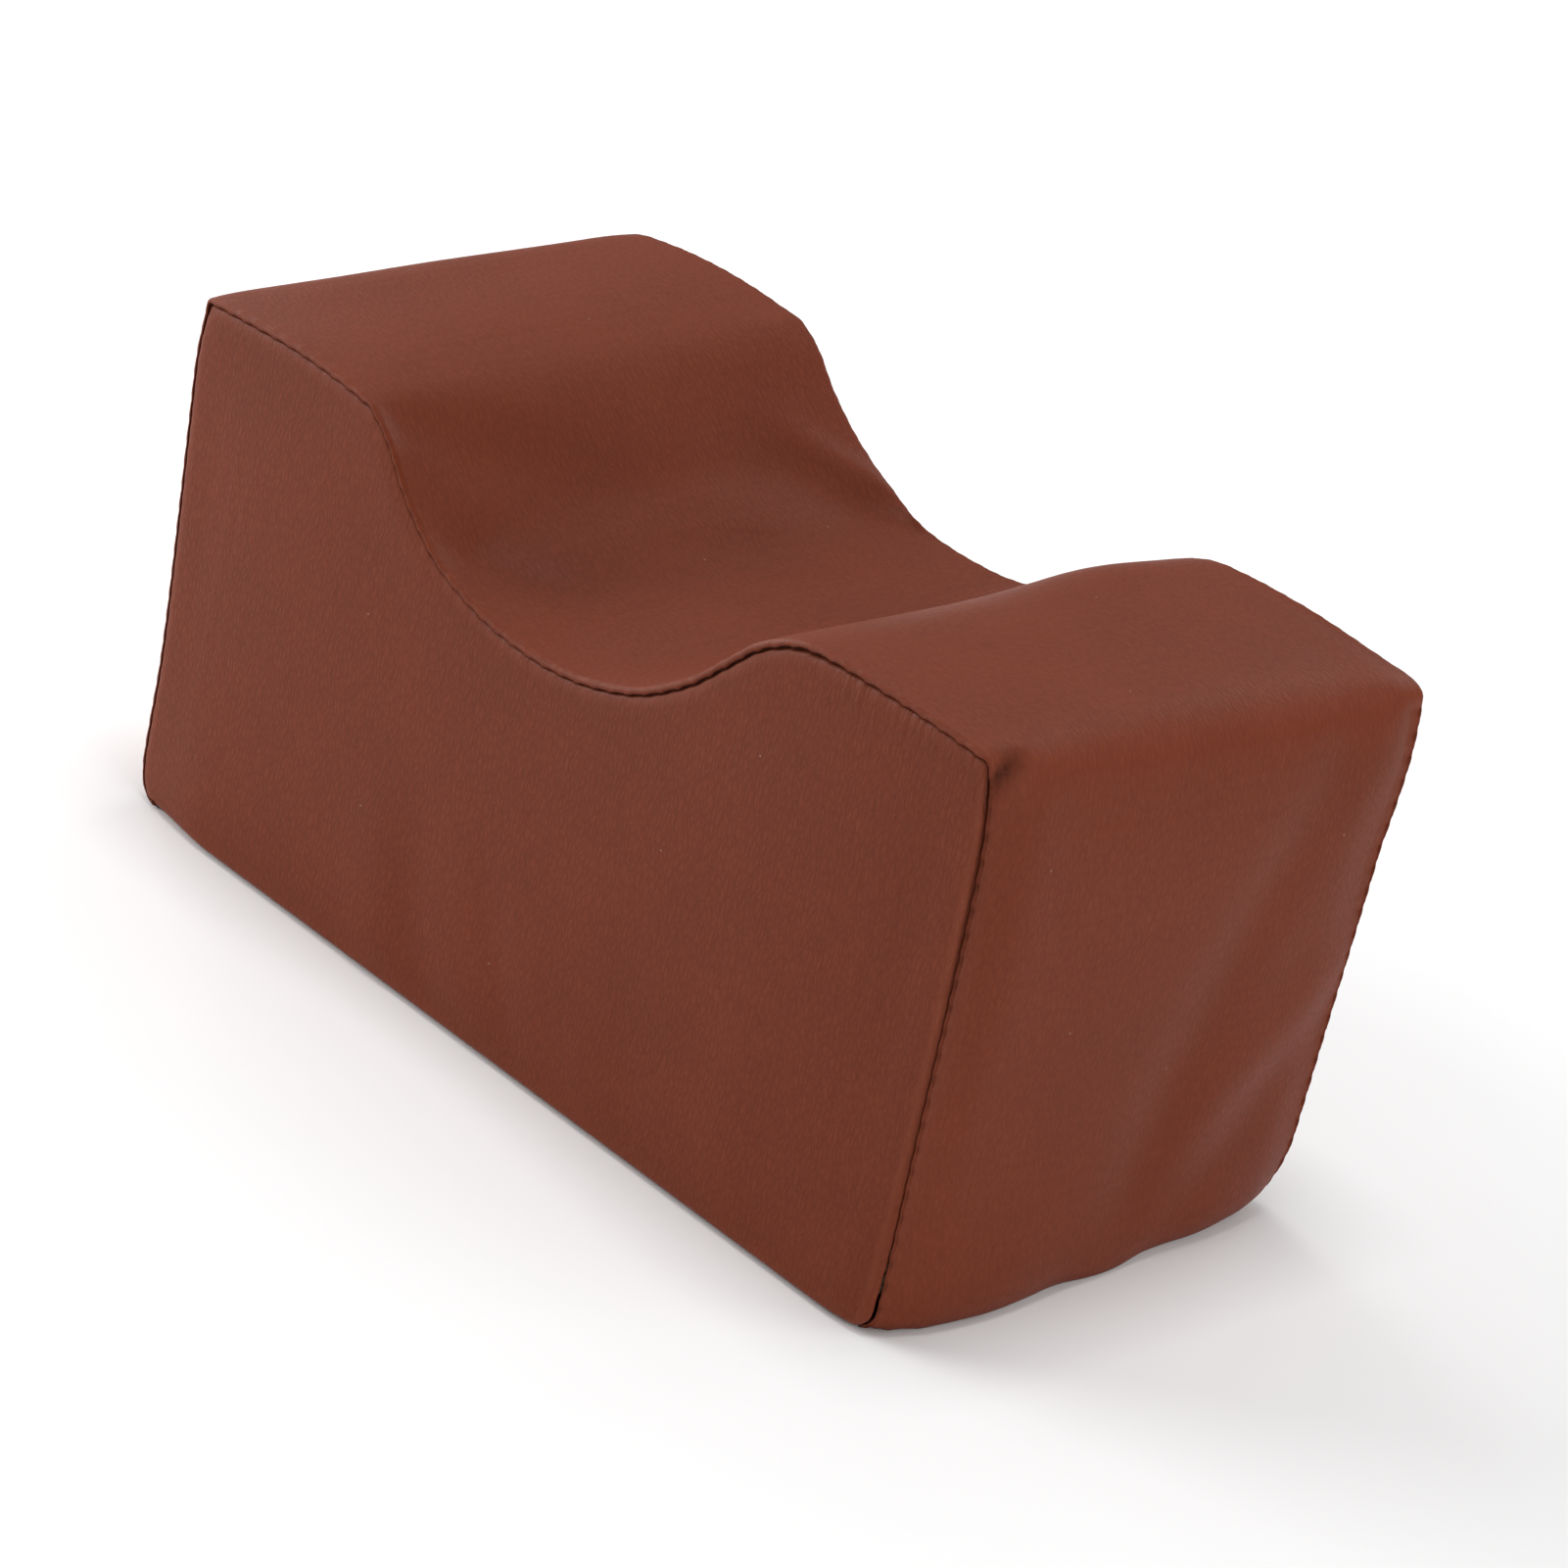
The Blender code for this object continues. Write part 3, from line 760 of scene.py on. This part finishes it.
# creases for the strip only: each dips in, is finely crumpled, and carries painted shade that darkens its
# colour
shadedCreasePaths = [
    [(121.8, -60, 115.5, 1.8, 1.0), (121.5, -57.5, 118.5, 2.3, 1.4), (119.5, -54, 122.3, 2.2, 0.9),
     (116.5, -51, 125, 1.8, 0)],
    # painted shade and a slight dip along the shadowed side of the upright front seam
    [(122, -58.6, 115, 1.6, 0.3), (122, -58.6, 86, 1.8, 0.3), (122, -58.8, 64, 1.5, 0.1),
     (122, -59, 48, 1.5, 0)],
]
panelFolds = [
    [(-31, -60, 46, 8, -0.1), (-22, -60, 15, 7, -0.7), (-13, -60, 2, 8, -0.8)],
    [(-6, -60, 44, 7, -0.1), (1, -60, 26, 6, -0.5), (12, -60, 8, 7, -0.55)],
    [(20, -60, 24, 6, -0.05), (26, -60, 6, 7, -0.35)],
    [(-40, -60, 30, 9, 0.35), (-34, -60, 6, 9, 0.4)],
    [(40, -60, 42, 7, -0.1), (50, -60, 4, 9, -0.3)],
    [(72, -60, 60, 8, 0.1), (78, -60, 8, 9, 0.3)],
]
panelSwells = [
    ((0, -60, 20), (95, 30, 40), 0.8),
]
hemSwell = dict(out=2.6, reach=22)      # mm that the panels swell out above the bottom, and up to where

footLines = {}


def strip():
    rows = edgeSamples(seamLength, cover["step"], cover["hemRoll"], cover["hemRoll"])
    hem = np.maximum(turnedIn(rows, cover["hemRoll"]), turnedIn(seamLength - rows, cover["hemRoll"]))
    end = onEnds(rows)
    lip = cover["lip"] + (cover["endLip"] - cover["lip"]) * end
    roll = cover["roll"] + (cover["endRoll"] - cover["roll"]) * end
    recess = cover["endRecess"] * end
    turn = np.linspace(0, math.pi / 2, 6)
    flat = np.linspace(0, 1, 57)[1:-1]
    # across the strip: up out of the front seam, over its roll, to the back and down into the back seam
    columns = [("lip", 0, angle) for angle in turn] + [("roll", 0, angle) for angle in turn[1:]]
    columns += [("flat", share, 0) for share in flat]
    columns += [("roll", 1, angle) for angle in turn[:0:-1]] + [("lip", 1, angle) for angle in turn[::-1]]
    points = np.zeros((len(rows), len(columns), 3))
    lay = np.zeros((len(rows), len(columns), 2))
    fromSeam = np.zeros((len(rows), len(columns)))
    for j, (kind, share, angle) in enumerate(columns):
        side = -1 if share < 0.5 else 1
        behind = recess * (side < 0)
        nearness = abs(2 * share - 1)
        spread = {"lip": 0.0, "roll": 0.9 * math.sin(angle),
                  "flat": 0.3 + (cover["cornerMid"] - 0.3) * (1 - nearness**3)}[kind]
        mixed = frontLine * (1 - share) + backPlain * share
        mixed[:, 0] += leanOut * share**4
        line = softenLine(mixed, spread)
        out = facing(softenLine(line, 1.2))
        x = np.interp(rows, guide, line[:, 0])
        z = np.interp(rows, guide, line[:, 1])
        outX = np.interp(rows, guide, out[:, 0])
        outZ = np.interp(rows, guide, out[:, 1])
        if kind == "lip":
            rise = lip * (1 - math.cos(angle))
            y = -half + lip * (1 - math.sin(angle))
            reach = lip * angle
        elif kind == "roll":
            rise = lip + roll * math.sin(angle)
            y = -half + roll * (1 - math.cos(angle))
            reach = lip * math.pi / 2 + roll * angle
        else:
            filled = around(rows, leftCorner, 13) + 0.6 * around(rows, rightCorner, 11)
            rise = lip + roll + cover["cornerFill"] * math.sin(math.pi * share) ** 0.9 * filled
            y = -half + roll + (2 * half - 2 * roll) * share
            reach = (lip + roll) * math.pi / 2 + half - roll
        if kind != "flat" and side > 0:
            y = -y
        shift = behind if kind != "flat" else behind * (1 - ease(half - np.abs(y), 0, 9))
        y = y - side * shift
        y = y + lean["backward"] * backLean(z) * atRightEnd(rows) * ease(y, 20, 60)
        edge = seamHalfGap(rows, side < 0) + seamJog(rows)
        fade = around(rise, 0, 1.6) if kind != "flat" else 0
        rise = rise + edge * fade
        points[:, j] = np.column_stack([x + outX * (rise - hem), y, z + outZ * (rise - hem)])
        fromSeam[:, j] = reach - (np.abs(y) if kind == "flat" else 0)
        lay[:, j] = np.column_stack([rows, y + half])
    out = surfaceFacing(points)
    loose = ease(fromSeam, 0.5, 5.5) * ease(np.minimum(rows, seamLength - rows), -1, 3)[:, None]
    push = pushed(points, stripFolds, stripSwells)
    pull = -0.16 * seamPinch(rows)[:, None] * np.exp(-fromSeam / 2.2)
    pull = pull - cover["sag"] * (1 - end)[:, None] * ease(fromSeam, 0.5, 4) * np.exp(-fromSeam / 5.5)
    furrow = cover["furrow"] * around(fromSeam, 2.4, 2.8)
    pull = pull + end[:, None] * (1.5 * ease(fromSeam, 1.5, 15) - furrow)
    shoulder = cover["shoulderFurrow"] * around(rows, rightCorner - 32, 18)[:, None]
    pull = pull - shoulder * around(fromSeam, 4.2, 1.7)
    shadedCrease = pushed(points, shadedCreasePaths, [])
    dent = -1.5 * shadedCrease * ease(fromSeam, 0.2, 2.2)
    points = points + out * (push * loose + pull + dent)[..., None]
    points = points + swelling(points) * (ease(fromSeam, 1, 16) * cover["slack"])[..., None]
    points[..., 2] = np.maximum(points[..., 2], cover["floorGap"])
    # rolled seam lips and top corners: real wear plus painted highlight
    wearAndHighlight = around(fromSeam, 1.6, 1.1) * (0.22 - 0.12 * seamPinch(rows)[:, None])
    wearAndHighlight = wearAndHighlight + 0.2 * around(rows, leftCorner, 7)[:, None] + 0.25 * around(rows, rightCorner, 7)[:, None]
    puckered = np.exp(-fromSeam / 4) * 0.25
    # painted shade in the dimple at each stitch beside the seam
    shadedCrease = shadedCrease + 0.5 * seamPinch(rows)[:, None] * around(fromSeam, 0, 1.1)
    footLines["left"], footLines["right"] = points[0], points[-1]
    marks = {"seamWearAndHighlight": wearAndHighlight, "gather": puckered, "shadedCrease": shadedCrease}
    finishCover(layCloth("topBandCloth", points, lay, marks), ["top_band"])


strip()
print("strip laid, sewn line mm:", round(float(seamLength)))


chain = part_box("zip_coil_upper"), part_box("zip_coil_lower")
zipMiddle = (chain[0][0].z + chain[1][1].z) / 2 / mm
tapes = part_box("zip_tape_upper"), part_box("zip_tape_lower")
slot = dict(
    halfLength=tapes[0][1].x / mm - 7.0,
    halfHeight=6.0,
    hem=0.8,                # how deep the opening's edges turn in
    stitchOut=2.0,          # from the opening's edge to the stitches beside it
    flatTo=26,              # height up to which the panel lies flat round the zip
    freeFrom=46,            # and from which it is as full as elsewhere
    surface=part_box("back_panel")[1].y / mm,
)


def profilePanel(name, side, replaced):
    line = frontLine if side < 0 else backLine
    topX, topZ, topT = line[topPart, 0], line[topPart, 1], guide[topPart]
    order = np.argsort(topX)
    topX, topZ, topT = topX[order], topZ[order], topT[order]
    wide = topX[-1] - topX[0]
    high = panel["high"]
    leftLine, rightLine = line[leftPart], line[rightPart][::-1]
    finer = [(), ()]
    if side > 0:
        # fine rows and columns along the edges of the slot
        low, top = zipMiddle - slot["halfHeight"], zipMiddle + slot["halfHeight"]
        footLeft = np.interp(zipMiddle, leftLine[:, 1], leftLine[:, 0])
        footRight = np.interp(zipMiddle, rightLine[:, 1], rightLine[:, 0])
        start, end = ((x - footLeft) / (footRight - footLeft) * wide
                      for x in (-slot["halfLength"], slot["halfLength"]))
        finer = [((start - 3, start), (end, end + 3)), ((low - 3.5, low - 0.5), (top - 0.5, top + 2.5))]
    columns = edgeSamples(wide, cover["step"], panel["sideRoll"], panel["sideRoll"], finer[0])
    rows = edgeSamples(high, panel["rowStep"], cover["hemRoll"], panel["topRoll"], finer[1])
    shares = columns / wide
    xTop = topX[0] + columns
    zTop = np.interp(xTop, topX, topZ)
    tTop = np.interp(xTop, topX, topT)
    bend = np.clip((rows - panel["bendFrom"]) / (high - 3 - panel["bendFrom"]), 0, 1)
    z = 0.5 + rows[None, :] * (1 - 0.5 / high) + (zTop[:, None] - high) * bend[None, :]
    leftX = np.interp(z[0], leftLine[:, 1], leftLine[:, 0])
    rightX = np.interp(z[-1], rightLine[:, 1], rightLine[:, 0])
    tLeft = np.interp(z[0], leftLine[:, 1], guide[leftPart])
    tRight = np.interp(z[-1], rightLine[:, 1], guide[rightPart][::-1])
    x = leftX[None, :] + shares[:, None] * (rightX - leftX)[None, :]
    toTop = high - rows
    toLeft, toRight = columns, wide - columns
    shell = 1.0
    for gap, roll in ((toTop[None, :], panel["topRoll"]), (toLeft[:, None], panel["sideRoll"]),
                      (toRight[:, None], panel["sideRoll"]), (rows[None, :], cover["hemRoll"])):
        shell = shell * (1 - turnedIn(gap, roll) / roll)
    rolled = (1 - shell) * 1.2
    # jogs and gap of the seam, top then ends
    for gap, t, axis, sign in ((toTop[None, :], tTop[:, None], 1, -1),
                               (toLeft[:, None], tLeft[None, :], 0, 1),
                               (toRight[:, None], tRight[None, :], 0, -1)):
        move = (seamHalfGap(t, side < 0) * 0.8 - seamJog(t)) * around(gap, 0, 1.6)
        if axis:
            z = z + sign * move
        else:
            x = x + sign * move
    points = np.stack([x, np.full_like(x, side * half) - side * rolled, z], axis=2)
    if side > 0:
        nearEnd = ease(x, 60, 119) * ease(z, 24, 44) + ease(x, 104, 119) * (1 - ease(z, 24, 44))
        points[..., 1] += lean["backward"] * backLean(z) * nearEnd
    out = np.zeros_like(points)
    out[..., 1] = side
    fromSeam = np.minimum(np.minimum(toTop[None, :], toLeft[:, None]), toRight[:, None])
    fromAny = np.minimum(fromSeam, rows[None, :])
    pinch = np.maximum.reduce([seamPinch(tTop)[:, None] * np.exp(-toTop[None, :] / 2.0),
                               seamPinch(tLeft)[None, :] * np.exp(-toLeft[:, None] / 2.0),
                               seamPinch(tRight)[None, :] * np.exp(-toRight[:, None] / 2.0)])
    folds = [[(x0, -side * y0, z0, *rest) for x0, y0, z0, *rest in path] for path in panelFolds]
    swells = [(tuple(np.array(c) * (1, -side, 1)), *rest) for c, *rest in panelSwells]
    push = pushed(points, folds, swells) * ease(fromAny, 0, 9)
    hem = hemSwell["out"] * around(z, 0, hemSwell["reach"])
    push = push + hem * (ease(columns, 0, 26) * ease(wide - columns, -14, 10))[:, None]
    outside = np.hypot(np.clip(np.abs(x) - slot["halfLength"], 0, None),
                       np.clip(np.abs(z - zipMiddle) - slot["halfHeight"], 0, None))
    if side > 0:
        # flat around the zip
        full = ease(z, slot["flatTo"], slot["freeFrom"])
        push = push * full - (half - slot["surface"]) * (1 - full)
        push = push - turnedIn(outside, slot["hem"]) - 0.15 * around(outside, slot["stitchOut"], 0.6)
    pillow = 0.75 * np.exp(-toTop / 3.2)[None, :] + 0.35 * np.exp(-np.minimum(toLeft, toRight) / 3.0)[:, None]
    points = points + out * (push - 0.14 * pinch - pillow)[..., None]
    slack = ease(fromAny, 1, 16) * cover["slack"]
    if side > 0:
        slack = slack * ease(z, slot["flatTo"] - 2, slot["freeFrom"])
    points = points + swelling(points) * slack[..., None]
    points[..., 2] = np.maximum(points[..., 2], cover["floorGap"])
    footLines["front" if side < 0 else "back"] = points[:, 0]
    # panel edges and the slot's edges: real wear plus painted highlight on the rolled seam lips
    wearAndHighlight = 0.7 * around(fromSeam, 1.3, 1.0) + 0.4 * around(rows[None, :], 0, 2.5)
    if side > 0:
        wearAndHighlight = wearAndHighlight + 0.6 * around(outside, 0, 0.9)
    gather = np.exp(-fromSeam / 4) * 0.2
    gather = gather + 0.9 * np.exp(-toTop[None, :] / 7) * ease(xTop, 66, 84)[:, None]
    lay = np.stack([z + 40 * side, x + 200], axis=2)
    marks = {"seamWearAndHighlight": wearAndHighlight, "gather": gather, "shadedCrease": np.zeros_like(wearAndHighlight)}
    piece = layCloth(name, points, lay, marks, flip=side > 0, cut=inSlot if side > 0 else None)
    finishCover(piece, replaced)


def inSlot(place):
    return abs(place.x) < slot["halfLength"] and abs(place.z - zipMiddle) < slot["halfHeight"]


profilePanel("frontPanelCloth", -1, ["front_panel"])
profilePanel("backPanelCloth", 1, ["back_panel"])
print("profile panels laid")


thread = dict(radius=0.2, dip=0.35, behind=1.0)     # mm; dip at each stitch, behind the face of the block


def seamThread(name, side, replaced):
    line = frontLine if side < 0 else backLine
    t = np.arange(2.0, seamLength - 2.0, cover["stitch"] / 6)
    x, z = (np.interp(t, guide, line[:, k]) for k in (0, 1))
    out = facing(line)
    outX, outZ = (np.interp(t, guide, out[:, k]) for k in (0, 1))
    jog = seamJog(t)
    y = side * (half - thread["behind"] - thread["dip"] * seamPinch(t))
    if side < 0:
        y = y + cover["endRecess"] * onEnds(t)
    else:
        y = y + lean["backward"] * backLean(z) * atRightEnd(t)
    path = np.column_stack([x + outX * jog, y, z + outZ * jog])
    keep(tube(name, path, thread["radius"]), "thread", "root", replaced)


seamThread("frontSeamThread", -1, ["front_seam_thread"])
seamThread("backSeamThread", 1, ["back_seam_thread"])


# sizes of the zip in mm
zipper = dict(
    pitch=1.35,             # from tooth to tooth
    wire=0.34,              # radius of the coil's wire
    tape=0.3,               # thickness
    stitch=3.0,
    stitchGap=0.7,
    stitchRadius=0.24,
)


def coilTeeth(name, box, towards, replaced):
    # one row of the coil: a flattened spiral whose loops reach for the other row
    low, high = box[0] / mm, box[1] / mm
    middle = (low + high) / 2
    turns = int((high.x - low.x - 2 * zipper["wire"]) / zipper["pitch"])
    angle = np.linspace(0, 2 * math.pi * turns, turns * 12 + 1)
    reach = (high.z - low.z) / 2 - zipper["wire"]
    across = np.cos(angle)
    offset = 0 if towards < 0 else zipper["pitch"] / 2
    x = low.x + zipper["wire"] + angle / (2 * math.pi) * zipper["pitch"] + offset
    z = middle.z + reach * across * np.where(across * towards > 0, 1.25, 1.0)
    y = middle.y + ((high.y - low.y) / 2 - zipper["wire"]) * np.sin(angle)
    coil = tube(name, np.column_stack([x, y, z]), zipper["wire"], sides=1)
    keep(coil, "coil", "root", replaced)


def tapeSheet(name, box, side, replaced):
    # the tape runs in under the teeth, out beside them and up to lie flat behind the panel
    low, high = box[0] / mm, box[1] / mm
    under = chain[0][0].y / mm - 0.15
    middle = (chain[0][0].y + chain[0][1].y) / 2 / mm
    outer = high.y - zipper["tape"]
    edge = (high.z - zipMiddle) if side > 0 else (zipMiddle - low.z)
    section = smoothLine([(0.22, under), (1.9, under), (2.6, under + 0.25), (3.2, middle - 0.12),
                          (3.7, middle), (4.8, middle), (edge - 4.6, outer), (edge, outer)], 0.35)
    across = np.maximum.accumulate(section[:, 0])
    along = np.linspace(low.x, high.x, 131)
    ripple = 0.12 * np.sin(along / 9.0) * np.sin(along / 23.0 + side)
    loose = ease(across, 4.2, 5.5) * (1 - ease(across, 6.5, 8))
    points = np.zeros((len(along), len(section), 3))
    points[..., 0] = along[:, None]
    points[..., 1] = section[:, 1][None, :] + ripple[:, None] * loose[None, :]
    points[..., 2] = zipMiddle + side * across[None, :]
    piece = layCloth(name, points, points[..., [0, 2]], {}, flip=side < 0)
    thicken(piece, zipper["tape"], both=True)
    keep(piece, "tape", "root", replaced)


def slotStitches():
    # a stitched ring beside the opening, each stitch diving at both ends
    halfX = slot["halfLength"] + slot["stitchOut"]
    halfZ = slot["halfHeight"] + slot["stitchOut"]
    ring = [(-halfX, -halfZ), (halfX, -halfZ), (halfX, halfZ), (-halfX, halfZ), (-halfX, -halfZ)]
    bm = bmesh.new()
    for a, b in zip(np.array(ring[:-1]), np.array(ring[1:])):
        length = np.linalg.norm(b - a)
        count = int(length / (zipper["stitch"] + zipper["stitchGap"]))
        span = length / count
        run = (b - a) / length
        for number in range(count):
            first = a + run * (number * span + zipper["stitchGap"] / 2)
            last = a + run * ((number + 1) * span - zipper["stitchGap"] / 2)
            made = bmesh.ops.create_uvsphere(bm, u_segments=8, v_segments=7, radius=1.0)["verts"]
            for vert in made:
                share = (vert.co.z + 1) / 2
                full = math.sqrt((1 - vert.co.z**4) / max(1 - vert.co.z**2, 1e-6)) * zipper["stitchRadius"]
                along = first + (last - first) * share + np.array([-run[1], run[0]]) * vert.co.x * full
                rise = vert.co.y * full + 0.1 - 0.35 * (2 * share - 1) ** 4
                vert.co = Vector((along[0], slot["surface"] - 0.1 + rise, zipMiddle + along[1])) * mm
    bmesh.ops.recalc_face_normals(bm, faces=bm.faces[:])
    keep(meshPiece("zipStitches", bm), "thread", "root", ["zip_seam_thread"])


coilTeeth("zipTeethUpper", chain[0], -1, ["zip_coil_upper"])
coilTeeth("zipTeethLower", chain[1], 1, ["zip_coil_lower"])
tapeSheet("zipTapeUpperWeave", tapes[0], 1, ["zip_tape_upper"])
tapeSheet("zipTapeLowerWeave", tapes[1], -1, ["zip_tape_lower"])
slotStitches()
print("zip laid")


def evenly(line, count):
    along = lengthAlong(line)
    return np.column_stack([np.interp(np.linspace(0, along[-1], count), along, line[:, k]) for k in range(3)])


base = dict(inset=0.25, lowest=0.05, edgeRise=0.55, threadRadius=0.26, threadStep=1.7)     # mm


def underside():
    # spans the turned-in edges of the other four pieces
    wide, deep = 121, 61
    front, back = evenly(footLines["front"], wide), evenly(footLines["back"], wide)
    left, right = evenly(footLines["left"], deep), evenly(footLines["right"], deep)
    left[0], left[-1], right[0], right[-1] = front[0], back[0], front[-1], back[-1]
    u = np.linspace(0, 1, wide)[:, None, None]
    v = np.linspace(0, 1, deep)[None, :, None]
    points = (1 - v) * front[:, None] + v * back[:, None] + (1 - u) * left[None] + u * right[None]
    points = points - (1 - v) * ((1 - u) * front[0] + u * front[-1]) - v * ((1 - u) * back[0] + u * back[-1])
    middle = points.mean(axis=(0, 1))
    points[..., :2] = middle[:2] + (points[..., :2] - middle[:2]) * (1 - base["inset"] / half)
    along, across = np.arange(wide) * 2.0, np.arange(deep) * 2.0
    edge = np.minimum(np.minimum(along, along[::-1])[:, None], np.minimum(across, across[::-1])[None, :])
    points[..., 2] = base["lowest"] + base["edgeRise"] * np.exp(-edge / 1.2)
    lay = points[..., :2] + 300
    marks = {"seamWearAndHighlight": np.exp(-edge / 2), "gather": np.exp(-edge / 4) * 0.2,
             "shadedCrease": np.zeros_like(edge)}
    finishCover(layCloth("basePanelCloth", points, lay, marks, flip=True), ["base_panel"])
    ring = np.vstack([points[:-1, 0], points[-1, :-1], points[:0:-1, -1], points[0, :0:-1]])
    ring = np.vstack([ring, ring[:1]])
    count = int(lengthAlong(ring)[-1] / base["threadStep"])
    path = evenly(ring, count + 1)[:-1]
    path[:, 2] = 0.75 + 0.2 * (np.arange(count) % 3 == 0)
    sewn = tube("baseSeamThread", path, base["threadRadius"], closed=True)
    keep(sewn, "thread", "root", ["base_seam_thread"])


underside()
print("underside laid")


def finishPadding():
    moved = padStart + padMoved * stuffing["foamShare"]
    # room behind the zip
    x, y, z = moved.T
    near = ease(y, 40, 50) * (1 - ease(z, 26, 36)) * (1 - ease(np.abs(x), 108, 116))
    moved[:, 1] = np.where(near > 0, np.minimum(y, 57 - 6 * near), y)
    padding.data.vertices.foreach_set("co", (moved * mm).ravel())
    padding.data.update()
    rounded = padding.modifiers.new("rounded", "SUBSURF")
    rounded.levels = rounded.render_levels = 1
    keep(padding, "foam", "root", ["foam_core"])


finishPadding()

# width in mm of the worn edges of the metal pieces, whose triangles are joined first
softEdges = dict(zip_slider=0.35, zip_crown=0.3, pull_tab=0.3, zip_bottom_stop=0.25, zip_top_stop_upper=0.25,
                 zip_top_stop_lower=0.25)
for name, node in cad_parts.items():
    if name in softEdges:
        joined = node.modifiers.new("joined", "WELD")
        joined.merge_threshold = 0.01 * mm
        worn = node.modifiers.new("softEdge", "BEVEL")
        worn.width = softEdges[name] * mm
        worn.segments = 3
        worn.limit_method = "ANGLE"
        node.data.materials.clear()
        node.data.materials.append(finishes["metal"])
print("padding and metal finished")

stage = dict(
    floorColour=(0.92, 0.92, 0.92, 1),
    floorPaler=(0.94, 0.94, 0.94, 1),
    sky=0.157,
    # name, place, side length, watts
    softboxes=(("leftFrontSoftbox", (-1.3, -0.9, 0.6), 1.0, 21.6),
               ("leftSoftbox", (-1.5, 0.2, 0.6), 1.0, 10.3),
               ("leftBackSoftbox", (-1.0, 0.8, 1.3), 1.0, 2.5),
               ("rightSoftbox", (1.5, -0.1, 0.5), 1.0, 9.3),
               ("rightBackSoftbox", (1.1, 0.9, 1.2), 1.0, 5.1),
               ("backSoftbox", (-0.2, 1.5, 0.8), 1.0, 5.2),
               ("overheadSoftbox", (0.0, 0.0, 1.8), 0.6, 12.8)),
)


def makeStage():
    bm = bmesh.new()
    bmesh.ops.create_grid(bm, x_segments=2, y_segments=2, size=6.0)
    for vert in bm.verts:
        vert.co.z = -0.0002
    floor = meshPiece("floor", bm, smooth=False)
    paint = Finish("paleFloor", {"Roughness": 0.9, "Specular IOR Level": 0.1})
    place = paint.place()
    paint.use(Base_Color=paint.mix(paint.noise(place, 2.0, 2.0), stage["floorColour"], stage["floorPaler"]))
    floor.data.materials.append(paint.material)
    world = bpy.data.worlds.new("studio")
    world.use_nodes = True
    world.node_tree.nodes["Background"].inputs["Color"].default_value = (1, 1, 1, 1)
    world.node_tree.nodes["Background"].inputs["Strength"].default_value = stage["sky"]
    scene.world = world
    aim = (cadBox[0] + cadBox[1]) / 2
    for name, spot, size, watts in stage["softboxes"]:
        light = bpy.data.lights.new(name, "AREA")
        light.shape = "SQUARE"
        light.size = size
        light.energy = watts
        lamp = bpy.data.objects.new(name, light)
        lamp.location = spot
        lamp.rotation_euler = (aim - Vector(spot)).to_track_quat("-Z", "Y").to_euler()
        scene.collection.objects.link(lamp)


makeStage()

view = dict(place=(0.7045, -0.7470, 0.5214), turn=(64.970, -11.072, 47.871), lens=123.35)
camera = bpy.data.cameras.new("studioCamera")
camera.lens = view["lens"]
camera.sensor_width = 36.0
camera.clip_start = 0.05
shooter = bpy.data.objects.new("studioCamera", camera)
shooter.location = view["place"]
shooter.rotation_euler = [math.radians(a) for a in view["turn"]]
scene.collection.objects.link(shooter)
scene.camera = shooter
scene.view_settings.view_transform = "Standard"
print("stage set")
